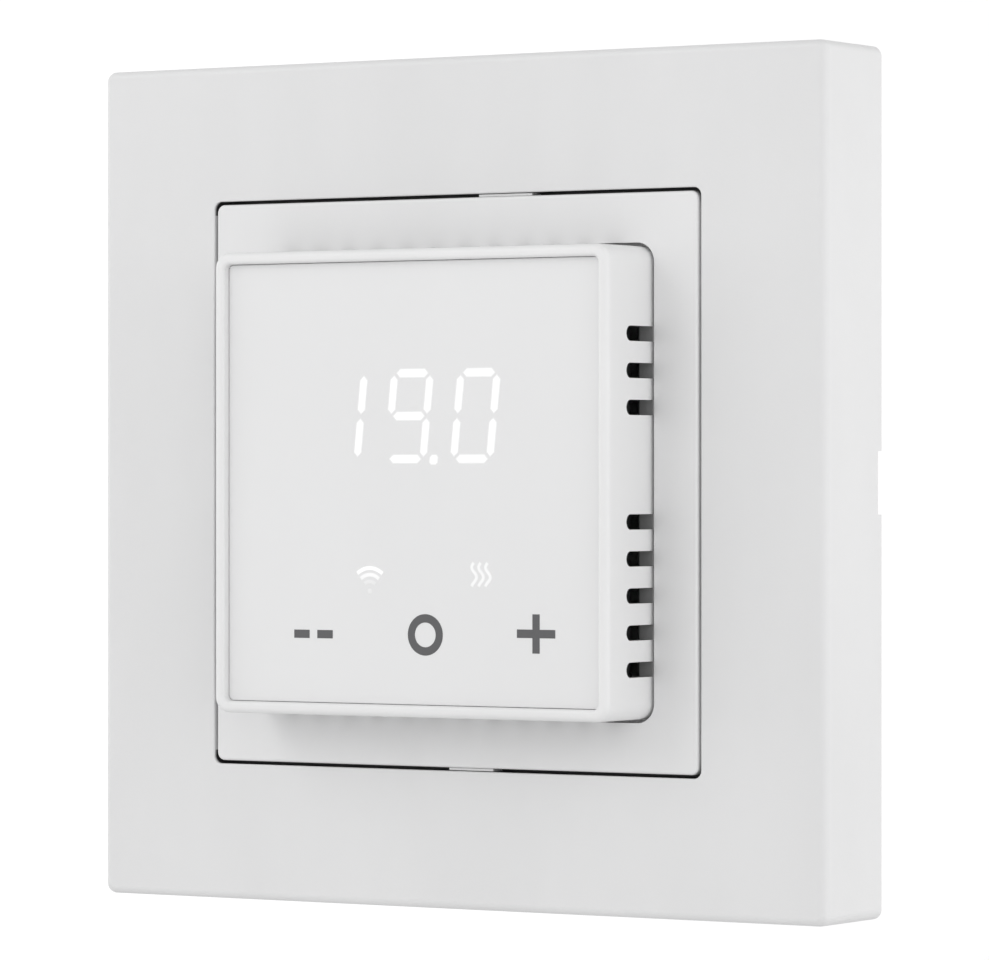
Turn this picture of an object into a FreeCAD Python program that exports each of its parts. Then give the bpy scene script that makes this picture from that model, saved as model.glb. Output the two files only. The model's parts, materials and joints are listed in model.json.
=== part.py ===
"""Flush-mounted wall thermostat for a 55 mm frame system.

The origin is the centre of the thermostat on the wall plane.  +X is to the
right for a person facing it, +Y goes into the wall and +Z is up, so the
display faces -Y.  Everything is in millimetres.

Three groups of pieces move apart: the base in the wall box, the outer frame,
and the cover with the display.  Inside the base six terminal screws each
raise a clamp, and the relay's armature tilts.
"""
import FreeCAD, Part
import math
import os

os.makedirs("parts", exist_ok=True)

# ---------------------------------------------------------------- driving sizes
# outer frame
FRAME_HALF = 41.2
FRAME_DEPTH = 10.9
FRAME_WALL = 2.0
FRAME_CORNER = 1.0
FRAME_EDGE = 0.75
WINDOW_HALF = 27.82
WINDOW_EDGE = 0.15
COLLAR_WALL = 1.5
COLLAR_BACK = -4.5
LIP_REACH = 1.2
LIP_THICK = 1.2
LIP_CLEARANCE = 0.3
NOTCH_HALF = 3.0
NOTCH_DEPTH = 0.7
CORNER_RIB = 1.0
CORNER_RIB_BACK = -2.5

# centre plate of the 55 mm system, flush with the frame's face
PLATE_HALF = 27.5
PLATE_THICK = 2.0
PLATE_CORNER = 0.8
PLATE_EDGE = 0.3
SLIT = 0.36                   # seam between the plate and the hood
RIB_HEIGHT = 0.25             # centring ribs in the gap round the plate
RIB_SET_BACK = 0.35
LOWER_RIB_X = (-0.4, 4.6)
UPPER_RIB_X = (3.0, 9.0)

# hood that stands out of the centre plate, with the touch panel in its face
HOOD_HALF = 22.38
HOOD_HEIGHT = 7.9
HOOD_WALL = 1.65
HOOD_CORNER = 1.5
HOOD_EDGE = 0.6
RIM_WIDTH = 1.15
RIM_EDGE = 0.35
PANEL_RECESS = 0.9
PANEL_THICK = 1.5
PANEL_GAP = 0.04
PANEL_CORNER = 0.55
PANEL_EDGE = 0.08
RECESS_CORNER = 0.6
LEDGE_THICK = 0.8
LEDGE_REACH = 1.2
FLANGE_HALF = 25.8
FLANGE_THICK = 1.2

# vent slots in the hood's walls
VENT_WIDTH = 1.45
VENT_LENGTH = 4.5             # in front of the plate
VENT_FOOT = 0.5               # how far a slot runs on behind the plate's face
SIDE_VENT_PITCH = 3.48
UPPER_VENTS = 3
UPPER_VENT_TOP = 14.06
LOWER_VENTS = 5
LOWER_VENT_TOP = -3.67
EDGE_VENT_PITCH = 3.35
EDGE_VENTS = 12

# mounting ring and the housing in the wall box
RING_HALF = 35.5
RING_THICK = 1.0
RING_CORNER = 4.0
BOX_SCREW_SPACING = 60.0
BOX_HOLE_R = 1.9
BOX_SLOT_LENGTH = 7.0
HOUSING_HALF = 24.0
HOUSING_CIRCLE_R = 28.5
HOUSING_BACK = 24.5
HOUSING_WALL = 1.5
HOUSING_CLEARANCE = 0.25
LABEL_RECESS = 0.4
LABEL_THICK = 0.15
LABEL_CORNER = 1.0
LABEL_EDGE = 0.4              # between the label and the side of its recess
LABEL_X, LABEL_Z = (-16.0, 16.0), (-6.0, 17.0)
NUMBER_STRIP_Z = (-12.6, -8.6)
LID_HALF = 25.6
LID_THICK = 1.2
LID_CORNER = 2.0
LID_SLOTS = 5
LID_SLOT_BOTTOM = -6.0
LID_SLOT_PITCH = 3.0
LID_SLOT_HALF_HEIGHT = 0.6
LID_SLOT_HALF_WIDTH = 9.0
RING_SCREW_AT = 22.6
RING_SCREW_R = 1.09
RING_THREAD_R = 1.1
RING_SCREW_HOLE_R = 1.15
PEG_X = 23.4
PEG_Z = 12.0
PEG_R = 1.2
PEG_DEPTH = 1.0               # how far a peg's tip is inside the lid
PEG_FIT = 0.05                # radial clearance of a peg in its socket

# boards
POWER_BOARD_FRONT = 2.0
POWER_BOARD_THICK = 1.6
POWER_BOARD_GAP = 0.4
CASE_CORNER = 0.5             # rounded corners of the moulded cases on the power board
DISPLAY_BOARD_HALF = 20.2
DISPLAY_BOARD_THICK = 1.2
DISPLAY_BOARD_FRONT = -12.4
BOARD_CORNER = 1.0
BOARD_HOLE_R = 0.85
BOARD_POST_AT = 18.6
POST_R = 1.5
POST_HOLE_R = 0.75
POST_HOLE_BLIND = 0.3         # how far a post's hole runs on past the ledge
POST_GUSSET = 1.7             # from a post's middle to the far side of its gusset
LIGHT_GAP = 0.3               # between the panel and what shines through it

# connector between the two boards
CONNECTOR_Z = 17.1
PIN_PITCH = 2.54
PIN_COLUMNS = 6
PIN_ROWS = 2
PIN_HALF = 0.32
PIN_HOLE_HALF = 0.45
PIN_SOLDER_R = 0.5            # hole of the display board round each pin
PIN_PLUGGED = 3.0             # from a pin's tip to the power board
HEADER_HEIGHT = 2.5
SOCKET_RISE = 3.1             # how far the socket stands in front of the lid
SOCKET_FLOOR = 2.5
CONNECTOR_MARGIN = 0.3

# touch keys and indicators, seen from the front
KEY_X = (-11.4, 1.4, 13.8)
KEY_Z = -14.6
DIGITS_HALF_WIDTH = 12.6
DIGITS_BOTTOM = -0.2
DIGITS_TOP = 13.0
WIFI_X = -4.9
HEAT_X = 7.7
INDICATOR_Z = -8.75

# terminals: a captive screw raises a cage that presses the wire on a bar
TERMINALS = 6
TERMINAL_PITCH = 5.0
BLOCK_HALF = 15.5
BLOCK_BOTTOM = -23.8
BLOCK_TOP = -13.5
WINDOW_CLEARANCE = 0.2
CAGE_LOW, CAGE_HIGH = 8.0, 14.4
CAGE_HALF_WIDTH = 2.0
CAGE_BOTTOM, CAGE_TOP = -21.5, -16.5
CAGE_SIDE, CAGE_FLOOR, CAGE_ROOF = 0.4, 0.8, 1.0
CAGE_TRAVEL = 2.5
CAGE_PLAY = 0.15
BAR_LOW, BAR_HIGH = 12.4, 13.2
BAR_HALF_WIDTH = 1.2
BAR_PLAY = 0.05
BAR_BOTTOM = -21.2
BAR_LEG_TOP = -14.15
BAR_LEG_THICK = 0.85
BAR_PIN_Z = -14.5
BAR_PIN_R = 0.35
BAR_PIN_HOLE_R = 0.6
BAR_PIN_REACH = 0.8           # how far a bar's pin shows in front of the board
ENTRY_R = 1.6
SCREW_R = 1.5
SCREW_FIT = 0.06
HEAD_FIT = 0.1
SCREW_HEAD_R = 1.9
SCREW_HEAD_LOW, SCREW_HEAD_HIGH = 18.5, 20.7
SCREW_TIP = 13.45
SCREW_SLOT = 0.6
SCREW_SLOT_DEPTH = 1.0

# relay, lying along Z on the power board
RELAY_X = -11.2
RELAY_HALF_WIDTH = 6.3
RELAY_BOTTOM, RELAY_TOP = -9.0, 20.0
RELAY_BACK = 19.6
RELAY_BASE_THICK = 1.6
RELAY_SKIN = 0.6
COIL_Y = 11.0
COIL_R = 4.2
COIL_BOTTOM, COIL_TOP = -4.0, 10.0
CORE_R = 1.6
POLE_R = 3.0
YOKE_Y, YOKE_THICK = 16.2, 1.2
PIVOT_Y, PIVOT_Z = 17.4, 12.6
PIVOT_R, PIVOT_FIT = 0.4, 0.05
IRON_HALF_WIDTH = 4.5
ARMATURE_FRONT, ARMATURE_THICK = 8.4, 1.2
BLADE_HALF_WIDTH = 1.6
CONTACT_Y, RIVET_R = 6.9, 0.9

# ------------------------------------------------------------ worked-out planes
FACE_Y = -FRAME_DEPTH                          # face of the frame and the plate
PLATE_BACK = FACE_Y + PLATE_THICK
HOOD_FRONT = FACE_Y - HOOD_HEIGHT
PANEL_FRONT = HOOD_FRONT + PANEL_RECESS
PANEL_BACK = PANEL_FRONT + PANEL_THICK
LEDGE_BACK = PANEL_BACK + LEDGE_THICK
FLANGE_BACK = PLATE_BACK + FLANGE_THICK
RING_FRONT = -RING_THICK
HOUSING_FLANGE_FRONT = RING_FRONT - LID_THICK
LID_FRONT = HOUSING_FLANGE_FRONT - LID_THICK
POWER_BOARD_BACK = POWER_BOARD_FRONT + POWER_BOARD_THICK
DISPLAY_BOARD_BACK = DISPLAY_BOARD_FRONT + DISPLAY_BOARD_THICK
RELAY_FLOOR = POWER_BOARD_BACK + RELAY_BASE_THICK
PEG_TIP = LID_FRONT + PEG_DEPTH
SIDES = (-1, 1)
CORNERS = [(i, j) for i in SIDES for j in SIDES]
SMALL = 0.01                  # lengths below this count as none
PAST = 1.0                    # how far a cut runs past the face that it opens
OVERLAP = 0.5                 # how deep two joined pieces of one solid reach into each other


# ----------------------------------------------------------------- small helpers
def box(x, y, z):
    """A block between two values on each axis, each given as a pair."""
    corner = FreeCAD.Vector(min(x), min(y), min(z))
    sizes = [abs(pair[1] - pair[0]) for pair in (x, y, z)]
    return Part.makeBox(*sizes, corner)


def square(half, y):
    """A square prism round the Y axis."""
    return box((-half, half), y, (-half, half))


def rod_x(x, y, z, radius):
    """A round bar along X: x is the pair of its ends."""
    return Part.makeCylinder(radius, x[1] - x[0], FreeCAD.Vector(x[0], y, z), FreeCAD.Vector(1, 0, 0))


def rod_y(x, y, z, radius):
    """A round bar along Y: y is the pair of its ends."""
    return Part.makeCylinder(radius, y[1] - y[0], FreeCAD.Vector(x, y[0], z), FreeCAD.Vector(0, 1, 0))


def rod_z(x, y, z, radius):
    """A round bar along Z: z is the pair of its ends."""
    return Part.makeCylinder(radius, z[1] - z[0], FreeCAD.Vector(x, y, z[0]), FreeCAD.Vector(0, 0, 1))


def span(edge):
    """An edge's length along each axis."""
    bounds = edge.BoundBox
    return bounds.XLength, bounds.YLength, bounds.ZLength


def round_corners(shape, radius):
    """Round the edges that run along Y."""
    edges = [e for e in shape.Edges if span(e)[1] > SMALL and max(span(e)[0], span(e)[2]) < SMALL]
    return shape.makeFillet(radius, edges)


def round_face(shape, y, radius, within=FRAME_HALF + PAST):
    """Round the edges that lie in one plane across Y, no further than a distance from the middle."""
    edges = []
    for edge in shape.Edges:
        bounds = edge.BoundBox
        in_plane = abs(bounds.YMin - y) < SMALL and abs(bounds.YMax - y) < SMALL
        if in_plane and max(abs(bounds.XMin), abs(bounds.XMax), abs(bounds.ZMin), abs(bounds.ZMax)) < within:
            edges.append(edge)
    return shape.makeFillet(radius, edges)


def joined(first, *others):
    shape = first
    for other in others:
        shape = shape.fuse(other)
    return shape.removeSplitter()


def save(name, shape):
    """Write one sub-part: a single solid, or a group of separate ones."""
    if not shape.isValid():
        raise ValueError(name + " is not a valid shape")
    if not shape.Solids:
        raise ValueError(name + " has no solid")
    shape.exportStep("parts/" + name + ".step")


# -------------------------------------------------------------------- the frame
def corner_ribs(web_back):
    """Two stiffening ribs in each corner, from the collar's end to the outer wall."""
    y = (web_back - OVERLAP, CORNER_RIB_BACK)
    half = CORNER_RIB / 2
    start = WINDOW_HALF + COLLAR_WALL / 2
    end = FRAME_HALF - FRAME_WALL / 2
    ribs = []
    for i, j in CORNERS:
        across = sorted((i * start, i * end))
        up = sorted((j * start, j * end))
        ribs.append(box(across, y, sorted((j * start - half, j * start + half))))
        ribs.append(box(sorted((i * start - half, i * start + half)), y, up))
    return ribs


def outer_frame():
    """Square shell with a window for the cover, a collar behind it and a pry notch."""
    shell = round_corners(square(FRAME_HALF, (FACE_Y, 0)), FRAME_CORNER)
    shell = round_face(shell, FACE_Y, FRAME_EDGE)
    web_back = FACE_Y + FRAME_WALL
    shell = shell.cut(square(FRAME_HALF - FRAME_WALL, (web_back, PAST)))
    collar = square(WINDOW_HALF + COLLAR_WALL, (web_back, COLLAR_BACK))
    lip_front = PLATE_BACK + LIP_CLEARANCE
    lip = square(WINDOW_HALF + COLLAR_WALL, (lip_front, lip_front + LIP_THICK))
    shell = shell.fuse(collar)
    window = round_corners(square(WINDOW_HALF, (FACE_Y - PAST, COLLAR_BACK + PAST)), PLATE_CORNER)
    lip = lip.cut(square(WINDOW_HALF - LIP_REACH, (lip_front - PAST, 0)))
    shell = round_face(shell.cut(window), FACE_Y, WINDOW_EDGE, WINDOW_HALF + PAST)
    shell = joined(shell, lip, *corner_ribs(web_back))
    notch_x = (FRAME_HALF - FRAME_WALL - PAST, FRAME_HALF + PAST)
    return shell.cut(box(notch_x, (-NOTCH_DEPTH, PAST), (-NOTCH_HALF, NOTCH_HALF)))


# -------------------------------------------------------------------- the cover
def cover_plate():
    """Flat centre plate with a hole for the hood and a centring rib above and below."""
    plate = round_corners(square(PLATE_HALF, (FACE_Y, PLATE_BACK)), PLATE_CORNER)
    plate = round_face(plate, FACE_Y, PLATE_EDGE)
    y = (FACE_Y + RIB_SET_BACK, PLATE_BACK)
    rib_base = PLATE_HALF - OVERLAP
    rib_top = PLATE_HALF + RIB_HEIGHT
    lower_rib = box(LOWER_RIB_X, y, (-rib_top, -rib_base))
    upper_rib = box(UPPER_RIB_X, y, (rib_base, rib_top))
    plate = joined(plate, lower_rib, upper_rib)
    hole = round_corners(square(HOOD_HALF + SLIT, (FACE_Y - PAST, PLATE_BACK + PAST)), HOOD_CORNER + SLIT)
    return plate.cut(hole)


def vent_slot(across, along, side):
    """One slot through a wall: a block with one round end towards the front."""
    half = VENT_WIDTH / 2
    centre_y = FACE_Y - VENT_LENGTH + half
    reach = (HOOD_HALF - HOOD_WALL - OVERLAP, HOOD_HALF + PAST)
    depth = reach if side > 0 else (-reach[1], -reach[0])
    if across == "X":
        block = box(depth, (centre_y, FACE_Y + VENT_FOOT), (along - half, along + half))
        return block.fuse(rod_x(depth, centre_y, along, half))
    block = box((along - half, along + half), (centre_y, FACE_Y + VENT_FOOT), depth)
    return block.fuse(rod_z(along, centre_y, depth, half))


def vent_slots():
    """Slots in both side walls, in two groups, and a full row above and below."""
    heights = [UPPER_VENT_TOP - i * SIDE_VENT_PITCH for i in range(UPPER_VENTS)]
    heights += [LOWER_VENT_TOP - i * SIDE_VENT_PITCH for i in range(LOWER_VENTS)]
    places = [(i - (EDGE_VENTS - 1) / 2) * EDGE_VENT_PITCH for i in range(EDGE_VENTS)]
    slots = [vent_slot("X", z, side) for side in SIDES for z in heights]
    slots += [vent_slot("Z", x, side) for side in SIDES for x in places]
    return slots


def front_hood():
    """Raised square hood: rim, recess and ledge for the panel, vents, flange and pegs."""
    hood = round_corners(square(HOOD_HALF, (HOOD_FRONT, PLATE_BACK)), HOOD_CORNER)
    hood = round_face(hood, HOOD_FRONT, HOOD_EDGE)
    flange = round_corners(square(FLANGE_HALF, (PLATE_BACK, FLANGE_BACK)), HOOD_CORNER)
    hood = hood.fuse(flange)
    opening = HOOD_HALF - RIM_WIDTH
    recess = round_corners(square(opening, (HOOD_FRONT - PAST, PANEL_BACK)), RECESS_CORNER)
    hood = round_face(hood.cut(recess), HOOD_FRONT, RIM_EDGE, opening + RIM_EDGE)
    inner = HOOD_HALF - HOOD_WALL
    inside = square(inner, (LEDGE_BACK, FLANGE_BACK + PAST))
    sight = square(inner - LEDGE_REACH, (PANEL_BACK - PAST, LEDGE_BACK + PAST))
    hood = hood.cut(inside).cut(sight)
    extras = []
    for i, j in CORNERS:
        x, z = i * BOARD_POST_AT, j * BOARD_POST_AT
        gusset_x = sorted((x - i * POST_GUSSET, i * (inner + OVERLAP)))
        gusset_z = sorted((z - j * POST_GUSSET, j * (inner + OVERLAP)))
        extras.append(box(gusset_x, (PANEL_BACK, LEDGE_BACK), gusset_z))
        extras.append(rod_y(x, (PANEL_BACK, DISPLAY_BOARD_FRONT), z, POST_R))
        extras.append(rod_y(i * PEG_X, (PLATE_BACK, PEG_TIP), j * PEG_Z, PEG_R))
    hood = joined(hood, *extras)
    for i, j in CORNERS:
        y = (LEDGE_BACK - POST_HOLE_BLIND, DISPLAY_BOARD_FRONT + PAST)
        hood = hood.cut(rod_y(i * BOARD_POST_AT, y, j * BOARD_POST_AT, POST_HOLE_R))
    for slot in vent_slots():
        hood = hood.cut(slot)
    return hood


def front_panel():
    """Seamless touch panel, glued in the hood's recess."""
    half = HOOD_HALF - RIM_WIDTH - PANEL_GAP
    panel = round_corners(square(half, (PANEL_FRONT, PANEL_BACK)), PANEL_CORNER)
    return round_face(panel, PANEL_FRONT, PANEL_EDGE)


def display_board():
    board = square(DISPLAY_BOARD_HALF, (DISPLAY_BOARD_FRONT, DISPLAY_BOARD_BACK))
    board = round_corners(board, BOARD_CORNER)
    y = (DISPLAY_BOARD_FRONT - PAST, DISPLAY_BOARD_BACK + PAST)
    for i, j in CORNERS:
        board = board.cut(rod_y(i * BOARD_POST_AT, y, j * BOARD_POST_AT, BOARD_HOLE_R))
    for x, z in pin_places():
        board = board.cut(rod_y(x, y, z, PIN_SOLDER_R))
    return board


def display_screws():
    """Four small screws that hold the display board on the hood's posts."""
    head_r, head_height, shank_r = 1.4, 0.9, 0.74
    slot_half, slot_floor = 0.2, 0.4
    screws = []
    for i, j in CORNERS:
        x, z = i * BOARD_POST_AT, j * BOARD_POST_AT
        head = rod_y(x, (DISPLAY_BOARD_BACK, DISPLAY_BOARD_BACK + head_height), z, head_r)
        shank = rod_y(x, (LEDGE_BACK, DISPLAY_BOARD_BACK), z, shank_r)
        slot_y = (DISPLAY_BOARD_BACK + slot_floor, DISPLAY_BOARD_BACK + head_height + PAST)
        slot = box((x - slot_half, x + slot_half), slot_y, (z - head_r - PAST, z + head_r + PAST))
        screws.append(joined(head, shank).cut(slot))
    return Part.makeCompound(screws)


def digit_display():
    """Three-digit light module behind the panel."""
    x = (-DIGITS_HALF_WIDTH, DIGITS_HALF_WIDTH)
    return box(x, (PANEL_BACK + LIGHT_GAP, DISPLAY_BOARD_FRONT), (DIGITS_BOTTOM, DIGITS_TOP))


def light_wells():
    """Two white tubes that keep each indicator's light apart."""
    half_x, half_z, wall = 3.0, 2.3, 0.8
    wells = []
    for x in (WIFI_X, HEAT_X):
        y = (PANEL_BACK + LIGHT_GAP, DISPLAY_BOARD_FRONT)
        outer = box((x - half_x, x + half_x), y, (INDICATOR_Z - half_z, INDICATOR_Z + half_z))
        hole_x = (x - half_x + wall, x + half_x - wall)
        hole_z = (INDICATOR_Z - half_z + wall, INDICATOR_Z + half_z - wall)
        wells.append(outer.cut(box(hole_x, (y[0] - PAST, y[1] + PAST), hole_z)))
    return Part.makeCompound(wells)


def indicator_lamps():
    """Two small light-emitting diodes, one in each well."""
    half_x, half_z, height = 0.8, 0.4, 0.6
    y = (DISPLAY_BOARD_FRONT - height, DISPLAY_BOARD_FRONT)
    z = (INDICATOR_Z - half_z, INDICATOR_Z + half_z)
    return Part.makeCompound([box((x - half_x, x + half_x), y, z) for x in (WIFI_X, HEAT_X)])


def key_springs():
    """Three touch springs that reach from the board to the back of the panel."""
    outer_r, inner_r = 2.6, 2.1
    through = (PANEL_BACK - PAST, DISPLAY_BOARD_FRONT + PAST)
    springs = []
    for x in KEY_X:
        spring = rod_y(x, (PANEL_BACK, DISPLAY_BOARD_FRONT), KEY_Z, outer_r)
        springs.append(spring.cut(rod_y(x, through, KEY_Z, inner_r)))
    return Part.makeCompound(springs)


def room_sensor():
    """Bead on two leads, in the air stream of the lower vents."""
    x, z = -14.5, -16.2
    bead_r, lead_r, lead_shift, lead_length = 0.95, 0.2, 0.45, 2.2
    tip = DISPLAY_BOARD_BACK + lead_length
    bead = Part.makeSphere(bead_r, FreeCAD.Vector(x, tip, z))
    leads = [rod_y(x + side * lead_shift, (DISPLAY_BOARD_BACK, tip), z, lead_r) for side in SIDES]
    return joined(bead, *leads)


def radio_module():
    """Small board with a metal can, on the back of the display board."""
    board_thick, can_height = 0.8, 1.8
    y = (DISPLAY_BOARD_BACK, DISPLAY_BOARD_BACK + board_thick)
    carrier = box((-18.0, 0.0), y, (-5.0, 11.0))
    can = box((-17.3, -6.0), (y[1], y[1] + can_height), (-4.3, 10.3))
    return joined(carrier, can)


def control_chip():
    side, height, left, bottom = 7.0, 0.9, 5.0, 0.0
    y = (DISPLAY_BOARD_BACK, DISPLAY_BOARD_BACK + height)
    return box((left, left + side), y, (bottom, bottom + side))


def pin_places():
    """Centre of each pin of the connector between the boards."""
    places = []
    for column in range(PIN_COLUMNS):
        for row in range(PIN_ROWS):
            x = (column - (PIN_COLUMNS - 1) / 2) * PIN_PITCH
            z = CONNECTOR_Z + (row - (PIN_ROWS - 1) / 2) * PIN_PITCH
            places.append((x, z))
    return places


def connector_block(y):
    half_x = PIN_COLUMNS * PIN_PITCH / 2
    half_z = PIN_ROWS * PIN_PITCH / 2
    return box((-half_x, half_x), y, (CONNECTOR_Z - half_z, CONNECTOR_Z + half_z))


def board_header():
    """Plug of the display board: a plastic bar with square pins."""
    solder_end = 0.6
    header = connector_block((DISPLAY_BOARD_BACK, DISPLAY_BOARD_BACK + HEADER_HEIGHT))
    y = (DISPLAY_BOARD_FRONT - solder_end, POWER_BOARD_FRONT - PIN_PLUGGED)
    pins = [box((x - PIN_HALF, x + PIN_HALF), y, (z - PIN_HALF, z + PIN_HALF)) for x, z in pin_places()]
    return joined(header, *pins)


# --------------------------------------------------------------------- the base
def housing_outline(margin, y):
    """The wall box's shape: a square cut to a circle, grown by the margin."""
    return square(HOUSING_HALF + margin, y).common(rod_y(0, y, 0, HOUSING_CIRCLE_R + margin))


def terminal_window():
    """Space of the terminal block, open at the bottom and at the back."""
    half = BLOCK_HALF + WINDOW_CLEARANCE
    z = (-HOUSING_CIRCLE_R, BLOCK_TOP + WINDOW_CLEARANCE)
    return box((-half, half), (POWER_BOARD_BACK, HOUSING_BACK + PAST), z)


def mounting_ring():
    """Steel plate that is screwed on the wall box."""
    through = (RING_FRONT - PAST, PAST)
    ring = round_corners(square(RING_HALF, (RING_FRONT, 0)), RING_CORNER)
    ring = ring.cut(housing_outline(HOUSING_CLEARANCE, through))
    reach = BOX_SCREW_SPACING / 2
    slot_shift = BOX_SLOT_LENGTH / 2 - BOX_HOLE_R
    for side in SIDES:
        ring = ring.cut(rod_y(0, through, side * reach, BOX_HOLE_R))
        ends = sorted((side * reach - slot_shift, side * reach + slot_shift))
        ring = ring.cut(box(ends, through, (-BOX_HOLE_R, BOX_HOLE_R)))
        for x in ends:
            ring = ring.cut(rod_y(x, through, 0, BOX_HOLE_R))
    for i, j in CORNERS:
        ring = ring.cut(rod_y(i * RING_SCREW_AT, through, j * RING_SCREW_AT, RING_THREAD_R))
    return ring


def rear_housing():
    """Cup in the wall box, with a flange in front of the ring and posts for the board."""
    post_x, post_r = 20.4, 1.8
    cup = housing_outline(0, (HOUSING_FLANGE_FRONT, HOUSING_BACK))
    flange = round_corners(square(LID_HALF, (HOUSING_FLANGE_FRONT, RING_FRONT)), LID_CORNER)
    room = (HOUSING_FLANGE_FRONT - PAST, HOUSING_BACK - HOUSING_WALL)
    cup = cup.fuse(flange).cut(housing_outline(-HOUSING_WALL, room))
    posts = []
    for side in SIDES:
        for z in (-8.0, 12.0):
            posts.append(rod_y(side * post_x, (POWER_BOARD_BACK, HOUSING_BACK - OVERLAP), z, post_r))
    cup = joined(cup, *posts).cut(terminal_window())
    recess = (HOUSING_BACK - LABEL_RECESS, HOUSING_BACK + PAST)
    cup = cup.cut(round_corners(box(LABEL_X, recess, LABEL_Z), LABEL_CORNER))
    cup = cup.cut(box((-BLOCK_HALF, BLOCK_HALF), recess, NUMBER_STRIP_Z))
    for i, j in CORNERS:
        y = (HOUSING_FLANGE_FRONT - PAST, PAST)
        cup = cup.cut(rod_y(i * RING_SCREW_AT, y, j * RING_SCREW_AT, RING_SCREW_HOLE_R))
    return cup


def rating_label():
    """Blank label stuck in its recess on the back of the housing."""
    x = (LABEL_X[0] + LABEL_EDGE, LABEL_X[1] - LABEL_EDGE)
    z = (LABEL_Z[0] + LABEL_EDGE, LABEL_Z[1] - LABEL_EDGE)
    back = HOUSING_BACK - LABEL_RECESS
    return round_corners(box(x, (back, back + LABEL_THICK), z), LABEL_CORNER - LABEL_EDGE)


def inner_cover():
    """Lid of the housing: sockets for the cover's pegs and a hole for the connector."""
    socket_r, socket_rise = 2.1, 2.6
    foot_x, foot_z, foot_r = 17.5, 10.0, 1.8
    lid = round_corners(square(LID_HALF, (LID_FRONT, HOUSING_FLANGE_FRONT)), LID_CORNER)
    extras = []
    for i, j in CORNERS:
        socket_y = (LID_FRONT - socket_rise, LID_FRONT + OVERLAP)
        extras.append(rod_y(i * PEG_X, socket_y, j * PEG_Z, socket_r))
        extras.append(rod_y(i * foot_x, (LID_FRONT + OVERLAP, POWER_BOARD_FRONT), j * foot_z, foot_r))
    lid = joined(lid, *extras)
    through = (LID_FRONT - socket_rise - PAST, HOUSING_FLANGE_FRONT + PAST)
    for i, j in CORNERS:
        lid = lid.cut(rod_y(i * PEG_X, through, j * PEG_Z, PEG_R + PEG_FIT))
        lid = lid.cut(rod_y(i * RING_SCREW_AT, through, j * RING_SCREW_AT, RING_SCREW_HOLE_R))
    half_x = PIN_COLUMNS * PIN_PITCH / 2 + CONNECTOR_MARGIN
    half_z = PIN_ROWS * PIN_PITCH / 2 + CONNECTOR_MARGIN
    lid = lid.cut(box((-half_x, half_x), through, (CONNECTOR_Z - half_z, CONNECTOR_Z + half_z)))
    for row in range(LID_SLOTS):
        z = LID_SLOT_BOTTOM + row * LID_SLOT_PITCH
        slot_z = (z - LID_SLOT_HALF_HEIGHT, z + LID_SLOT_HALF_HEIGHT)
        lid = lid.cut(box((-LID_SLOT_HALF_WIDTH, LID_SLOT_HALF_WIDTH), through, slot_z))
    return lid


def ring_screws():
    """Four cross-slotted screws through the lid and the housing's flange into the ring."""
    head_r, head_height, cross_depth, cross_reach, cross_half = 1.9, 1.2, 0.6, 1.2, 0.25
    tip = -0.1
    screws = []
    for i, j in CORNERS:
        x, z = i * RING_SCREW_AT, j * RING_SCREW_AT
        head = rod_y(x, (LID_FRONT - head_height, LID_FRONT), z, head_r)
        shank = rod_y(x, (LID_FRONT, tip), z, RING_SCREW_R)
        y = (LID_FRONT - head_height - PAST, LID_FRONT - head_height + cross_depth)
        upright = box((x - cross_half, x + cross_half), y, (z - cross_reach, z + cross_reach))
        level = box((x - cross_reach, x + cross_reach), y, (z - cross_half, z + cross_half))
        screws.append(joined(head, shank).cut(upright.fuse(level)))
    return Part.makeCompound(screws)


def power_board():
    board = housing_outline(-HOUSING_WALL - POWER_BOARD_GAP, (POWER_BOARD_FRONT, POWER_BOARD_BACK))
    through = (POWER_BOARD_FRONT - PAST, POWER_BOARD_BACK + PAST)
    for x in terminal_places():
        board = board.cut(rod_y(x, through, BAR_PIN_Z, BAR_PIN_HOLE_R))
    return board


def board_socket():
    """Socket on the front of the power board that the header's pins plug into."""
    front = LID_FRONT - SOCKET_RISE
    socket = connector_block((front, POWER_BOARD_FRONT))
    y = (front - PAST, POWER_BOARD_FRONT - SOCKET_FLOOR)
    for x, z in pin_places():
        x_pair = (x - PIN_HOLE_HALF, x + PIN_HOLE_HALF)
        socket = socket.cut(box(x_pair, y, (z - PIN_HOLE_HALF, z + PIN_HOLE_HALF)))
    return socket


def transformer_core():
    """E-shaped ferrite core: two outer legs, a centre leg and the two yokes."""
    x, z = (3.6, 17.0), (5.5, 19.0)
    y = (POWER_BOARD_BACK + 2.0, POWER_BOARD_BACK + 8.0)
    yoke, window_shift, window_half = 2.5, 3.4, 1.6
    core = box(x, y, z)
    for side in SIDES:
        middle = sum(x) / 2 + side * window_shift
        window_x = (middle - window_half, middle + window_half)
        core = core.cut(box(window_x, (y[0] - PAST, y[1] + PAST), (z[0] + yoke, z[1] - yoke)))
    return core


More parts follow.
